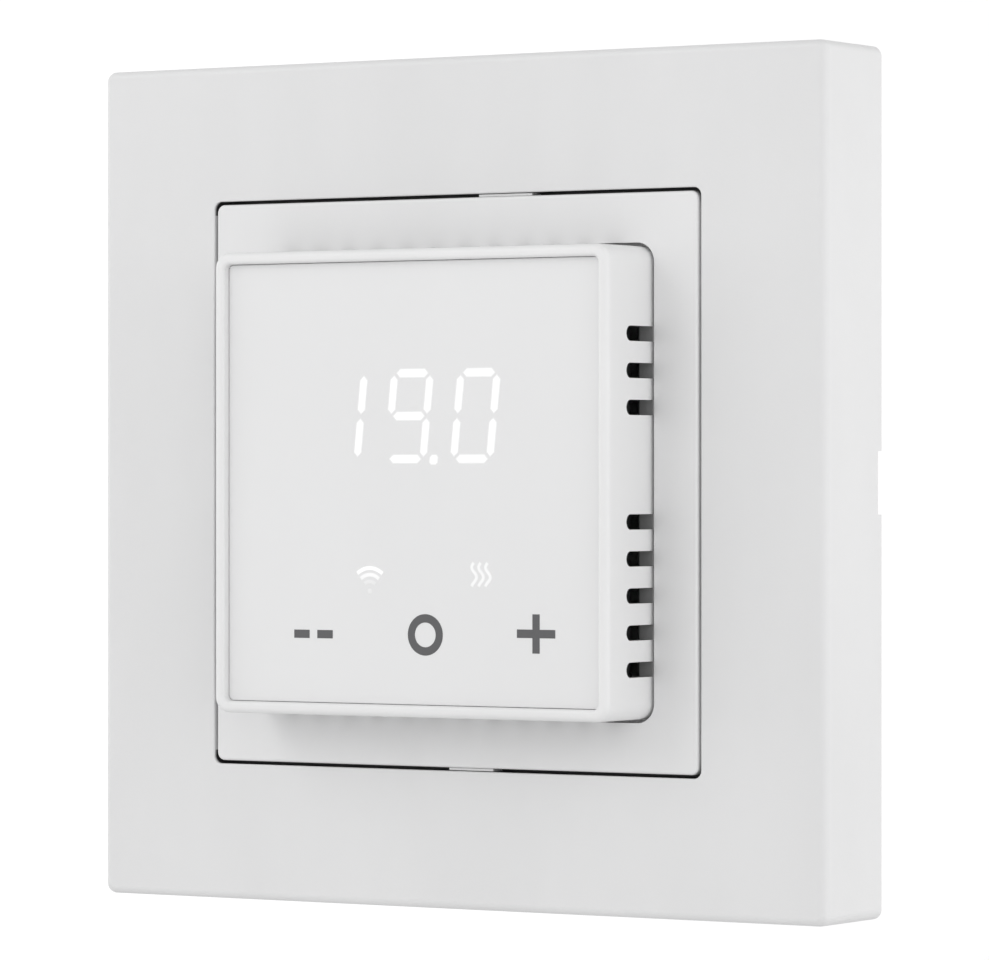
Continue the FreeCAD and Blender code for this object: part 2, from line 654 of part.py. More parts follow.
def transformer_winding():
    """Bobbin and copper round the core's centre leg, with its feet on the board."""
    middle, half = 10.3, 4.9
    y = (POWER_BOARD_BACK + 0.6, POWER_BOARD_BACK + 9.4)
    z = (8.1, 16.4)
    leg_half, leg_inset = 1.85, 1.3
    foot_half_x, foot_half_z = 4.5, 0.6
    coil = box((middle - half, middle + half), y, z)
    leg_y = (y[0] + leg_inset, y[1] - leg_inset)
    coil = coil.cut(box((middle - leg_half, middle + leg_half), leg_y, (z[0] - PAST, z[1] + PAST)))
    feet = []
    for foot_z in (z[0] + foot_half_z, z[1] - foot_half_z):
        foot_x = (middle - foot_half_x, middle + foot_half_x)
        feet.append(box(foot_x, (POWER_BOARD_BACK, y[0]), (foot_z - foot_half_z, foot_z + foot_half_z)))
    return joined(coil, *feet)


def bulk_capacitor():
    """Round electrolytic capacitor with a groove near its foot."""
    x, z = 12.5, -4.0
    radius, height, groove_r = 4.0, 13.0, 3.7
    groove_y = (POWER_BOARD_BACK + 1.6, POWER_BOARD_BACK + 2.3)
    can = rod_y(x, (POWER_BOARD_BACK, POWER_BOARD_BACK + height), z, radius)
    groove = rod_y(x, groove_y, z, radius + PAST).cut(rod_y(x, groove_y, z, groove_r))
    return can.cut(groove)


def film_capacitor():
    y = (POWER_BOARD_BACK, POWER_BOARD_BACK + 11.0)
    return round_corners(box((-3.6, 1.6), y, (-8.0, 5.0)), CASE_CORNER)


def fuse():
    y = (POWER_BOARD_BACK, POWER_BOARD_BACK + 8.0)
    return round_corners(box((3.2, 7.4), y, (-9.0, -0.6)), CASE_CORNER)


def varistor():
    """Disc on two leads."""
    x, z = (-3.0, 0.8), 12.0
    radius, edge, height = 4.6, 1.2, 5.8
    lead_x, lead_r, lead_shift = -1.1, 0.35, 2.5
    y = POWER_BOARD_BACK + height
    disc = rod_x(x, y, z, radius)
    disc = disc.makeFillet(edge, [e for e in disc.Edges if span(e)[0] < SMALL])
    leads = [rod_y(lead_x, (POWER_BOARD_BACK, y), z + side * lead_shift, lead_r) for side in SIDES]
    return joined(disc, *leads)


def rectifier():
    height = 2.4
    return box((8.0, 14.5), (POWER_BOARD_FRONT - height, POWER_BOARD_FRONT), (-10.0, -5.0))


# ---------------------------------------------------------------- the terminals
def terminal_places():
    return [(i - (TERMINALS - 1) / 2) * TERMINAL_PITCH for i in range(TERMINALS)]


def cage_chamber(x):
    """Hollow of the block that one cage slides in, with its ways in and out."""
    half = CAGE_HALF_WIDTH + CAGE_PLAY
    y = (CAGE_LOW - CAGE_PLAY, CAGE_HIGH + CAGE_TRAVEL + CAGE_PLAY)
    z = (CAGE_BOTTOM - CAGE_PLAY, CAGE_TOP + CAGE_PLAY)
    entry_y = (CAGE_LOW + CAGE_FLOOR + BAR_LOW) / 2
    chamber = box((x - half, x + half), y, z)
    entry = rod_z(x, entry_y, (BLOCK_BOTTOM - PAST, z[0] + OVERLAP), ENTRY_R)
    screw_way = rod_y(x, (y[1] - OVERLAP, SCREW_HEAD_LOW + OVERLAP), screw_z(), SCREW_R + SCREW_FIT)
    head_way = rod_y(x, (SCREW_HEAD_LOW, HOUSING_BACK + PAST), screw_z(), SCREW_HEAD_R + HEAD_FIT)
    bar_half = BAR_HALF_WIDTH + BAR_PLAY
    bar_y = (POWER_BOARD_BACK - PAST, BAR_HIGH + BAR_PLAY)
    bar_way = box((x - bar_half, x + bar_half), bar_y, (z[1] - OVERLAP, BAR_LEG_TOP + BAR_PLAY))
    return [chamber, entry, screw_way, head_way, bar_way]


def screw_z():
    return (CAGE_BOTTOM + CAGE_TOP) / 2


def terminal_block():
    """Six chambers side by side, wires from below, screws from the back."""
    x = (-BLOCK_HALF, BLOCK_HALF)
    block = box(x, (POWER_BOARD_BACK, HOUSING_BACK), (BLOCK_BOTTOM, BLOCK_TOP))
    for place in terminal_places():
        for hollow in cage_chamber(place):
            block = block.cut(hollow)
    return block


def terminal_bars():
    """Six fixed brass bars, each with a leg and a pin down to the board."""
    bars = []
    leg_z = (BAR_LEG_TOP - BAR_LEG_THICK, BAR_LEG_TOP)
    for x in terminal_places():
        bar_x = (x - BAR_HALF_WIDTH, x + BAR_HALF_WIDTH)
        bar = box(bar_x, (BAR_LOW, BAR_HIGH), (BAR_BOTTOM, BAR_LEG_TOP))
        leg = box(bar_x, (POWER_BOARD_BACK, BAR_HIGH), leg_z)
        pin_y = (POWER_BOARD_FRONT - BAR_PIN_REACH, POWER_BOARD_BACK + OVERLAP)
        bars.append(joined(bar, leg, rod_y(x, pin_y, BAR_PIN_Z, BAR_PIN_R)))
    return Part.makeCompound(bars)


def terminal_screw(x):
    """Captive slotted screw with its head towards the back."""
    z = screw_z()
    head = rod_y(x, (SCREW_HEAD_LOW, SCREW_HEAD_HIGH), z, SCREW_HEAD_R)
    shank = rod_y(x, (SCREW_TIP, SCREW_HEAD_LOW), z, SCREW_R)
    half = SCREW_SLOT / 2
    reach = SCREW_HEAD_R + PAST
    slot_y = (SCREW_HEAD_HIGH - SCREW_SLOT_DEPTH, SCREW_HEAD_HIGH + PAST)
    slot = box((x - reach, x + reach), slot_y, (z - half, z + half))
    return joined(head, shank).cut(slot)


def clamp_cage(x):
    """Steel cage round the bar; the screw's thread runs in its roof."""
    half = CAGE_HALF_WIDTH
    cage = box((x - half, x + half), (CAGE_LOW, CAGE_HIGH), (CAGE_BOTTOM, CAGE_TOP))
    inner = half - CAGE_SIDE
    hollow_y = (CAGE_LOW + CAGE_FLOOR, CAGE_HIGH - CAGE_ROOF)
    cage = cage.cut(box((x - inner, x + inner), hollow_y, (CAGE_BOTTOM - PAST, CAGE_TOP + PAST)))
    thread_y = (CAGE_HIGH - CAGE_ROOF - OVERLAP, CAGE_HIGH + PAST)
    return cage.cut(rod_y(x, thread_y, screw_z(), SCREW_R + SCREW_FIT))


# -------------------------------------------------------------------- the relay
def relay_x(margin=0.0):
    half = RELAY_HALF_WIDTH - margin
    return (RELAY_X - half, RELAY_X + half)


def relay_base():
    """Base plate that the relay's works stand on."""
    return box(relay_x(), (POWER_BOARD_BACK, RELAY_FLOOR), (RELAY_BOTTOM, RELAY_TOP))


def relay_case():
    """Box over the relay's works, open towards the board."""
    case = box(relay_x(), (RELAY_FLOOR, RELAY_BACK), (RELAY_BOTTOM, RELAY_TOP))
    z = (RELAY_BOTTOM + RELAY_SKIN, RELAY_TOP - RELAY_SKIN)
    return case.cut(box(relay_x(RELAY_SKIN), (RELAY_FLOOR - PAST, RELAY_BACK - RELAY_SKIN), z))


def relay_coil():
    """Bobbin with two flanges and the copper wound between them."""
    flange_thick, flange_reach, foot_half = 0.8, 0.5, 3.0
    winding = rod_z(RELAY_X, COIL_Y, (COIL_BOTTOM, COIL_TOP), COIL_R)
    flanges = [rod_z(RELAY_X, COIL_Y, (z, z + flange_thick), COIL_R + flange_reach)
               for z in (COIL_BOTTOM, COIL_TOP - flange_thick)]
    foot_z = (COIL_BOTTOM, COIL_BOTTOM + flange_thick)
    foot = box((RELAY_X - foot_half, RELAY_X + foot_half), (RELAY_FLOOR, COIL_Y), foot_z)
    coil = joined(winding, foot, *flanges)
    return coil.cut(rod_z(RELAY_X, COIL_Y, (COIL_BOTTOM - PAST, COIL_TOP + PAST), CORE_R))


def relay_yoke():
    """Iron core and angle that lead the magnetism to the armature."""
    x = (RELAY_X - IRON_HALF_WIDTH, RELAY_X + IRON_HALF_WIDTH)
    bottom = COIL_BOTTOM - 1.4
    arm_gap, end_gap, air_gap, pole_thick = 0.2, 0.1, 1.0, 0.6
    arm = box(x, (YOKE_Y, YOKE_Y + YOKE_THICK), (bottom, PIVOT_Z - arm_gap))
    end_y = (RELAY_FLOOR + arm_gap, YOKE_Y + YOKE_THICK)
    end = box(x, end_y, (bottom, COIL_BOTTOM - end_gap))
    pole_top = PIVOT_Z - air_gap
    core = rod_z(RELAY_X, COIL_Y, (COIL_BOTTOM - OVERLAP, pole_top - pole_thick), CORE_R)
    pole = rod_z(RELAY_X, COIL_Y, (pole_top - pole_thick, pole_top), POLE_R)
    groove = rod_x((x[0] - PAST, x[1] + PAST), PIVOT_Y, PIVOT_Z, PIVOT_R + PIVOT_FIT)
    return joined(arm, end, core, pole).cut(groove)


def relay_armature():
    """Iron plate with a round heel that tilts in a groove of the yoke's edge."""
    x = (RELAY_X - IRON_HALF_WIDTH, RELAY_X + IRON_HALF_WIDTH)
    y = (ARMATURE_FRONT, YOKE_Y + YOKE_THICK + PIVOT_R)
    plate = box(x, y, (PIVOT_Z, PIVOT_Z + ARMATURE_THICK))
    return joined(plate, rod_x(x, PIVOT_Y, PIVOT_Z, PIVOT_R))


def moving_contact():
    """Spring blade on the armature with its contact rivet."""
    foot = PIVOT_Z + ARMATURE_THICK
    blade_thick, blade_ends, rivet_height = 0.3, (5.9, 15.5), 0.6
    blade_x = (RELAY_X - BLADE_HALF_WIDTH, RELAY_X + BLADE_HALF_WIDTH)
    blade = box(blade_x, blade_ends, (foot, foot + blade_thick))
    return joined(blade, rod_z(RELAY_X, CONTACT_Y, (foot - rivet_height, foot), RIVET_R))


def fixed_contact():
    """Blade standing on the relay's base, with the rivet that the moving one meets."""
    top = PIVOT_Z - 1.0
    blade_thick, blade_end, rivet_height = 0.4, 7.8, 0.5
    blade_x = (RELAY_X - BLADE_HALF_WIDTH, RELAY_X + BLADE_HALF_WIDTH)
    blade = box(blade_x, (RELAY_FLOOR, blade_end), (top - blade_thick, top))
    return joined(blade, rod_z(RELAY_X, CONTACT_Y, (top, top + rivet_height), RIVET_R))


# ------------------------------------------------------------------- write it out
SINGLE_PARTS = [
    outer_frame, cover_plate, front_hood, front_panel, display_board, display_screws,
    digit_display, light_wells, indicator_lamps, key_springs, room_sensor, radio_module,
    control_chip, board_header, mounting_ring, rear_housing, rating_label, inner_cover, ring_screws,
    power_board, board_socket, transformer_core, transformer_winding, bulk_capacitor,
    film_capacitor, fuse, varistor, rectifier, terminal_block, terminal_bars,
    relay_base, relay_case, relay_coil, relay_yoke, relay_armature, moving_contact, fixed_contact,
]

for make in SINGLE_PARTS:
    save(make.__name__, make())

for number, place in enumerate(terminal_places(), start=1):
    save("terminal_screw_%d" % number, terminal_screw(place))
    save("clamp_cage_%d" % number, clamp_cage(place))
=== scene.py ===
"""Looks of the wall thermostat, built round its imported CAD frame.

Sizes in this file are in millimetres unless a name says otherwise, and become
metres where a mesh, light or camera is made.  Places come from the frame's boxes.
"""

import json
import math

import bmesh
import bpy
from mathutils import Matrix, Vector


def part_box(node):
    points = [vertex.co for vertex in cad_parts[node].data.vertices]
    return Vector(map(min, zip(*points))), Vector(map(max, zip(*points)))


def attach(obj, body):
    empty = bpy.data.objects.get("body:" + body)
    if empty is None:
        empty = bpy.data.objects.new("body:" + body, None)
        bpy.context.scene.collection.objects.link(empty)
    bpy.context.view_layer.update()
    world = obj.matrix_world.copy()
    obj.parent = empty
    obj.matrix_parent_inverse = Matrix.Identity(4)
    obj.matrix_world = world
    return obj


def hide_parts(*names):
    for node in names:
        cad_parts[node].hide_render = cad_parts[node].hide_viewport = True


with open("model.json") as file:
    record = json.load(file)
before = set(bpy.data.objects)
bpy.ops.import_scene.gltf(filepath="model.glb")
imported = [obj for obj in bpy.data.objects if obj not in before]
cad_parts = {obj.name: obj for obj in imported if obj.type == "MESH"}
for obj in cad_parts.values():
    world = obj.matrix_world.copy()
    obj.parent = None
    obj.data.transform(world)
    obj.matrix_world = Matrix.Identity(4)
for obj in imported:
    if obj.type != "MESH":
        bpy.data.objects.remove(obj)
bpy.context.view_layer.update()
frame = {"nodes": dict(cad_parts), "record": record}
NODES = frame["nodes"]
MM = 0.001

# ------------------------------------------------------------- shader node helpers
MIX_FIRST, MIX_SECOND, MIX_RESULT = 6, 7, 2   # the Mix node's sockets for colours
WAVE_SCALE = 0.314                            # a wave texture of this scale repeats every metre


def new_material(name):
    """An empty node material, its node tree and its surface shader."""
    made = bpy.data.materials.new(name)
    made.use_nodes = True
    return made, made.node_tree, made.node_tree.nodes["Principled BSDF"]


def connect(tree, socket, value):
    """Link another node's output to a socket, or set the socket's own value."""
    if isinstance(value, bpy.types.NodeSocket):
        tree.links.new(value, socket)
    else:
        socket.default_value = value


def add(tree, kind, inputs, **settings):
    """One shader node, with its sockets linked or set, and its properties."""
    made = tree.nodes.new(kind)
    for key, value in settings.items():
        setattr(made, key, value)
    for key, value in inputs.items():
        connect(tree, made.inputs[key], value)
    return made


def place(tree):
    """Position on the object, in metres, in the object's frame."""
    return add(tree, "ShaderNodeTexCoord", {}).outputs["Object"]


def place_parts(tree):
    """Position on the object as its X, Y and Z outputs."""
    return add(tree, "ShaderNodeSeparateXYZ", {"Vector": place(tree)}).outputs


def stretched(tree, vector, scale):
    """A position scaled along each axis, so that a pattern on it is squeezed or stretched."""
    return add(tree, "ShaderNodeMapping", {"Vector": vector, "Scale": scale}).outputs["Vector"]


def noise(tree, vector, size, detail=2.0):
    """Cloudy noise from 0 to 1 whose blobs are about size millimetres across."""
    inputs = {"Vector": vector, "Scale": 1 / (size * MM), "Detail": detail}
    return add(tree, "ShaderNodeTexNoise", inputs).outputs["Fac"]


def waves(tree, vector, pitch, direction, **inputs):
    """Parallel bands from 0 to 1, a pitch in millimetres apart along X or Z."""
    inputs = {"Vector": vector, "Scale": WAVE_SCALE / (pitch * MM), **inputs}
    return add(tree, "ShaderNodeTexWave", inputs, bands_direction=direction).outputs["Fac"]


def spread(tree, value, low, high, start=0.3, end=0.7):
    """Map a value between start and end to the range from low to high, and no further."""
    inputs = {"Value": value, "From Min": start, "From Max": end, "To Min": low, "To Max": high}
    return add(tree, "ShaderNodeMapRange", inputs, clamp=True).outputs["Result"]


def rise(tree, value, start=0.3, end=0.7):
    """0 up to start, and 1 from end on."""
    return spread(tree, value, 0.0, 1.0, start, end)


def fall(tree, value, start, end):
    """1 up to start, and 0 from end on."""
    return spread(tree, value, 1.0, 0.0, start, end)


def calculate(tree, operation, *values):
    """The result of one Math node."""
    return add(tree, "ShaderNodeMath", dict(enumerate(values)), operation=operation).outputs[0]


def blend_colour(tree, amount, first, second):
    """A colour between two, by an amount from 0 to 1."""
    made = add(tree, "ShaderNodeMix", {"Factor": amount}, data_type="RGBA")
    connect(tree, made.inputs[MIX_FIRST], rgba(first))
    connect(tree, made.inputs[MIX_SECOND], rgba(second))
    return made.outputs[MIX_RESULT]


def rgba(colour):
    """A colour with full alpha; a linked colour stays as it is."""
    return colour if isinstance(colour, bpy.types.NodeSocket) else (*colour, 1.0)


def shade(colour, factor):
    """A colour made darker or lighter by a factor."""
    return tuple(min(1.0, part * factor) for part in colour)


def paint(tree, shader, colour):
    """Set or link the shader's colour."""
    connect(tree, shader.inputs["Base Color"], colour)


def polish(tree, shader, roughness):
    """Link the shader's roughness."""
    connect(tree, shader.inputs["Roughness"], roughness)


def bump(tree, shader, height, depth_mm, strength=1.0):
    """Relief whose full height is depth_mm."""
    inputs = {"Height": height, "Distance": depth_mm * MM, "Strength": strength}
    made = add(tree, "ShaderNodeBump", inputs)
    tree.links.new(made.outputs["Normal"], shader.inputs["Normal"])


def tint(made, amount, colour):
    """Blend a material's colour towards another one, by an amount from 0 to 1."""
    tree = made.node_tree
    shader = tree.nodes["Principled BSDF"]
    outside = shader.inputs["Base Color"].links[0].from_socket
    paint(tree, shader, blend_colour(tree, amount, outside, colour))


# ------------------------------------------------------------- moulded plastics
PLASTIC_IOR = 1.49

HOOD_RIM = 1.19                       # rim and panel gap together, beside the panel
HOOD_CORNER = 1.5
HOOD_WALL = 1.65
# painted shade: a dark coat inside the hood and on its vent slots' cut faces, where light hardly reaches
HOOD_SHADE_COLOUR = (0.018, 0.018, 0.019)
HOOD_SHADE_SETBACK = 2.6                    # from the hood's front to the start of its painted shade
HOOD_SHADE_FADE = 0.2
SLOT_SHADE_SHARE = 0.60                      # share of the painted shade on the cut faces of the slots
SLOT_DEPTHS = (0.04, 0.08)            # depths in the wall between which that painted shade sets in
ROOM_DEPTHS = (HOOD_WALL - 0.15, HOOD_WALL - 0.05)   # and the rest of it, in the room inside

# painted shade in the narrow gaps above and below the centre plate, where little light gets in
SEAM_SHADE_COLOUR = (0.04, 0.04, 0.04)
SEAM_START, SEAM_FULL = 0.15, 0.45    # behind the front face: where the shade begins and is full
SEAM_END, SEAM_GONE = 2.30, 2.35      # and where it ends
SEAM_EDGE = 0.02
FRAME_SEAM = (-1.0, 0.45)             # where the frame's shade lies, from the plate's edge
PLATE_SEAM = (-0.01, 0.03)            # and the plate's own


def moulded(name, colour, roughness, grain=0.25, depth=0.006, mottle=0.02):
    """Injection-moulded plastic: fine erosion grain, faint flow marks, uneven gloss."""
    made, tree, shader = new_material(name)
    at = place(tree)
    flow = noise(tree, stretched(tree, at, (1.0, 1.0, 0.35)), size=14.0, detail=3.0)
    dark, light = shade(colour, 1 - mottle), shade(colour, 1 + mottle)
    paint(tree, shader, blend_colour(tree, rise(tree, flow), dark, light))
    gloss = noise(tree, at, size=3.0, detail=4.0)
    polish(tree, shader, spread(tree, gloss, roughness - 0.05, roughness + 0.05))
    bump(tree, shader, noise(tree, at, size=grain, detail=3.0), depth)
    shader.inputs["IOR"].default_value = PLASTIC_IOR
    return made


def depth_inside(tree, parts, half_width, corner):
    """How far a point lies in from the side faces of a square bar along Y with rounded edges."""
    past = []
    for letter in "XZ":
        size = calculate(tree, "ABSOLUTE", parts[letter])
        past.append(calculate(tree, "SUBTRACT", size, half_width - corner))
    beyond = [calculate(tree, "MAXIMUM", value, 0.0) for value in past]
    squares = [calculate(tree, "MULTIPLY", value, value) for value in beyond]
    reach = calculate(tree, "SQRT", calculate(tree, "ADD", *squares))
    straight = calculate(tree, "MINIMUM", calculate(tree, "MAXIMUM", *past), 0.0)
    return calculate(tree, "SUBTRACT", corner, calculate(tree, "ADD", reach, straight))


def hood_material():
    """The hood's satin white, with painted shade: a dark coat inside it and on the cut faces of its vent
    slots, where light hardly reaches.
    """
    made = moulded("satin_white_hood", (0.795, 0.795, 0.797), 0.38)
    tree = made.node_tree
    parts = place_parts(tree)
    half_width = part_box("front_panel")[1].x + HOOD_RIM * MM
    depth = depth_inside(tree, parts, half_width, HOOD_CORNER * MM)
    # painted shade on the slots' cut faces and in the room inside the hood
    slot_shade = spread(tree, depth, 0.0, SLOT_SHADE_SHARE, *[size * MM for size in SLOT_DEPTHS])
    room_shade = spread(tree, depth, 0.0, 1.0 - SLOT_SHADE_SHARE, *[size * MM for size in ROOM_DEPTHS])
    inside = calculate(tree, "ADD", slot_shade, room_shade)
    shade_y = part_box("front_hood")[0].y + HOOD_SHADE_SETBACK * MM
    behind = rise(tree, parts["Y"], shade_y, shade_y + HOOD_SHADE_FADE * MM)
    tint(made, calculate(tree, "MULTIPLY", inside, behind), HOOD_SHADE_COLOUR)
    return made


def painted_seam_shade(made, span, front_y):
    """Paint shade onto a plastic in the narrow gaps above and below the centre plate, where little light
    gets in.

    The shade lies between the two distances in span, counted outwards from the plate's edge.
    """
    inner, outer = [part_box("cover_plate")[1].x + size * MM for size in span]
    tree = made.node_tree
    parts = place_parts(tree)
    height = calculate(tree, "ABSOLUTE", parts["Z"])
    aside = calculate(tree, "ABSOLUTE", parts["X"])
    edge = SEAM_EDGE * MM
    amount = rise(tree, parts["Y"], front_y + SEAM_START * MM, front_y + SEAM_FULL * MM)
    masks = [
        fall(tree, parts["Y"], front_y + SEAM_END * MM, front_y + SEAM_GONE * MM),
        rise(tree, height, inner - edge, inner),
        fall(tree, height, outer, outer + edge),
        fall(tree, aside, outer, outer + edge),
    ]
    for mask in masks:
        amount = calculate(tree, "MULTIPLY", amount, mask)
    # blend towards the painted shade colour
    tint(made, amount, SEAM_SHADE_COLOUR)
    return made


def frame_material():
    """The frame's satin white, with painted shade where its window faces the plate's upper and lower edge.
    """
    made = moulded("satin_white_frame", (0.735, 0.735, 0.738), 0.42)
    return painted_seam_shade(made, FRAME_SEAM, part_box("outer_frame")[0].y)


def plate_material():
    """The plate's satin white, with painted shade on its own upper and lower edge."""
    made = moulded("satin_white_plate", (0.77, 0.77, 0.773), 0.42)
    return painted_seam_shade(made, PLATE_SEAM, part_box("cover_plate")[0].y)


def glowing(name, colour, light):
    """Panel plastic with a display segment's light behind it, as strong as the mesh's glow value."""
    made, tree, shader = new_material(name)
    cells = noise(tree, place(tree), size=0.6)
    paint(tree, shader, blend_colour(tree, cells, shade(colour, 0.985), colour))
    connect(tree, shader.inputs["Emission Color"], blend_colour(tree, cells, shade(light, 0.97), light))
    glow = add(tree, "ShaderNodeAttribute", {}, attribute_name="glow").outputs["Fac"]
    connect(tree, shader.inputs["Emission Strength"], glow)
    shader.inputs["Roughness"].default_value = 0.34
    shader.inputs["IOR"].default_value = PLASTIC_IOR
    return made


# ------------------------------------------------------------- other materials
def printed_ink(name, colour):
    """Screen-printed ink: slightly uneven cover and a satin surface."""
    made, tree, shader = new_material(name)
    at = place(tree)
    cover = noise(tree, at, size=0.35, detail=4.0)
    paint(tree, shader, blend_colour(tree, cover, shade(colour, 0.92), shade(colour, 1.08)))
    polish(tree, shader, spread(tree, cover, 0.42, 0.56))
    bump(tree, shader, noise(tree, at, size=0.12), 0.002)
    return made


def sheet_metal(name, colour, roughness, brush, tarnish=None):
    """Plated metal: cloudy plating and brushed lines, which lie across the axis that brush scales most."""
    made, tree, shader = new_material(name)
    at = place(tree)
    lines = noise(tree, stretched(tree, at, brush), size=1.2, detail=5.0)
    clouds = noise(tree, at, size=4.0, detail=3.0)
    paint(tree, shader, blend_colour(tree, rise(tree, clouds), colour, tarnish or shade(colour, 0.88)))
    shader.inputs["Metallic"].default_value = 1.0
    polish(tree, shader, spread(tree, lines, roughness - 0.08, roughness + 0.1))
    bump(tree, shader, lines, 0.01, strength=0.6)
    return made


def wound_wire(name, colour):
    """Enamelled copper wound in close turns round the Z axis, with painted shade in the grooves between
    turns.
    """
    made, tree, shader = new_material(name)
    at = place(tree)
    turns = waves(tree, at, 0.28, "Z", Distortion=0.15, Detail=1.0)
    # the dark bands between the turns are painted shade in the grooves between the wires
    paint(tree, shader, blend_colour(tree, turns, shade(colour, 0.35), colour))
    shader.inputs["Metallic"].default_value = 0.8
    polish(tree, shader, spread(tree, noise(tree, at, size=0.8), 0.28, 0.4))
    bump(tree, shader, turns, 0.08)
    return made


def circuit_board(name, mask, track):
    """Solder mask over copper tracks that run in straight lanes."""
    made, tree, shader = new_material(name)
    at = place(tree)
    across, up = [rise(tree, waves(tree, at, 0.9, letter, Distortion=0.0), 0.70, 0.76) for letter in "XZ"]
    zones = rise(tree, noise(tree, at, size=7.0, detail=0.0), 0.49, 0.51)
    pours = rise(tree, noise(tree, at, size=5.0, detail=1.0), 0.60, 0.61)
    first = calculate(tree, "MULTIPLY", across, zones)
    second = calculate(tree, "MULTIPLY", up, calculate(tree, "SUBTRACT", 1.0, zones))
    copper = calculate(tree, "MAXIMUM", calculate(tree, "MAXIMUM", first, second), pours)
    paint(tree, shader, blend_colour(tree, copper, mask, track))
    polish(tree, shader, spread(tree, noise(tree, at, size=1.5), 0.3, 0.42))
    bump(tree, shader, copper, 0.035)
    return made


def cast_resin(name, colour, roughness=0.25, ripple=0.03):
    """Dipped or cast resin: glossy, with a soft uneven skin and tiny specks."""
    made, tree, shader = new_material(name)
    at = place(tree)
    specks = rise(tree, noise(tree, at, size=0.12, detail=1.0), 0.62, 0.72)
    paint(tree, shader, blend_colour(tree, specks, colour, shade(colour, 1.35)))
    polish(tree, shader, spread(tree, noise(tree, at, size=1.0), roughness - 0.05, roughness + 0.1))
    bump(tree, shader, noise(tree, at, size=1.6), ripple)
    return made


def sintered(name, colour):
    """Ferrite: dark, dry and speckled."""
    made, tree, shader = new_material(name)
    grains = noise(tree, place(tree), size=0.1, detail=4.0)
    paint(tree, shader, blend_colour(tree, rise(tree, grains), shade(colour, 0.6), shade(colour, 1.6)))
    shader.inputs["Roughness"].default_value = 0.62
    shader.inputs["Specular IOR Level"].default_value = 0.7
    bump(tree, shader, grains, 0.02)
    return made


def printed_film(name, colour):
    """Polyester label film: silver grey with a fine matt coat."""
    made, tree, shader = new_material(name)
    at = place(tree)
    flakes = noise(tree, at, size=0.08)
    paint(tree, shader, blend_colour(tree, flakes, shade(colour, 0.93), shade(colour, 1.06)))
    shader.inputs["Metallic"].default_value = 0.35
    polish(tree, shader, spread(tree, noise(tree, at, size=2.0), 0.38, 0.5))
    bump(tree, shader, flakes, 0.004)
    return made


def pale_floor():
    """Nearly white matt floor with faint clouds of dust."""
    made, tree, shader = new_material("pale_floor")
    dust = noise(tree, place(tree), size=60.0, detail=3.0)
    paint(tree, shader, blend_colour(tree, dust, (0.96, 0.96, 0.96), (0.985, 0.985, 0.985)))
    shader.inputs["Roughness"].default_value = 0.8
    shader.inputs["Specular IOR Level"].default_value = 0.1
    return made


def slot_materials():
    """One finished material for each of the record's material slots."""
    return {
        "frame_plastic": frame_material(),
        "plate_plastic": plate_material(),
        "hood_plastic": hood_material(),
        "panel_plastic": moulded("smooth_white_panel", (0.785, 0.785, 0.788), 0.34, 0.5, 0.002, 0.008),
        "housing_plastic": moulded("grey_housing", (0.42, 0.43, 0.44), 0.55, 0.4, 0.03, 0.05),
        "lid_plastic": moulded("grey_lid", (0.42, 0.43, 0.44), 0.55, 0.4, 0.03, 0.05),
        "terminal_plastic": moulded("dark_terminal_block", (0.055, 0.06, 0.065), 0.48, 0.3, 0.02, 0.08),
        "black_plastic": moulded("black_connector", (0.022, 0.022, 0.024), 0.45, 0.25, 0.015, 0.1),
        "relay_plastic": moulded("relay_shell", (0.03, 0.032, 0.038), 0.3, 0.6, 0.008, 0.1),
        "display_white": moulded("display_shell", (0.66, 0.66, 0.66), 0.5, 0.3, 0.01, 0.03),
        "ring_steel": sheet_metal("zinc_ring", (0.66, 0.67, 0.69), 0.34, (1, 1, 8), (0.58, 0.60, 0.66)),
        "screw_steel": sheet_metal("zinc_screw", (0.68, 0.68, 0.69), 0.26, (1, 6, 1), (0.60, 0.62, 0.66)),
        "cage_steel": sheet_metal("zinc_cage", (0.60, 0.61, 0.64), 0.36, (8, 1, 1)),
        "relay_iron": sheet_metal("soft_iron", (0.38, 0.38, 0.39), 0.4, (1, 8, 1)),
        "tin_can": sheet_metal("tinned_can", (0.70, 0.70, 0.71), 0.3, (1, 1, 3)),
        "brass": sheet_metal("bright_brass", (0.80, 0.58, 0.26), 0.25, (1, 5, 1), (0.70, 0.50, 0.22)),
        "copper": wound_wire("enamelled_copper", (0.74, 0.32, 0.16)),
        "ferrite": sintered("ferrite_grey", (0.055, 0.055, 0.06)),
        "board_green": circuit_board("green_solder_mask", (0.012, 0.10, 0.045), (0.03, 0.19, 0.08)),
        "board_black": circuit_board("black_solder_mask", (0.012, 0.012, 0.013), (0.026, 0.026, 0.028)),
        "capacitor_sleeve": cast_resin("capacitor_sleeve", (0.02, 0.022, 0.04), 0.3, 0.01),
        "capacitor_yellow": cast_resin("yellow_case", (0.72, 0.46, 0.05), 0.35, 0.01),
        "varistor_blue": cast_resin("blue_dip", (0.03, 0.12, 0.40)),
        "fuse_brown": cast_resin("brown_fuse", (0.09, 0.04, 0.025), 0.3, 0.01),
        "lamp_lens": cast_resin("lamp_lens", (0.80, 0.74, 0.36), 0.15, 0.01),
        "sensor_resin": cast_resin("sensor_bead", (0.015, 0.015, 0.016), 0.2),
        "label_film": printed_film("label_film", (0.55, 0.56, 0.57)),
    }


def dress_nodes():
    """Give every CAD node the material of its record slot, and return the materials by slot."""
    finishes = slot_materials()
    for row in frame["record"]["subparts"]:
        surfaces = NODES[row["node"]].data.materials
        surfaces.clear()
        surfaces.append(finishes[row["material_slot"]])
    return finishes


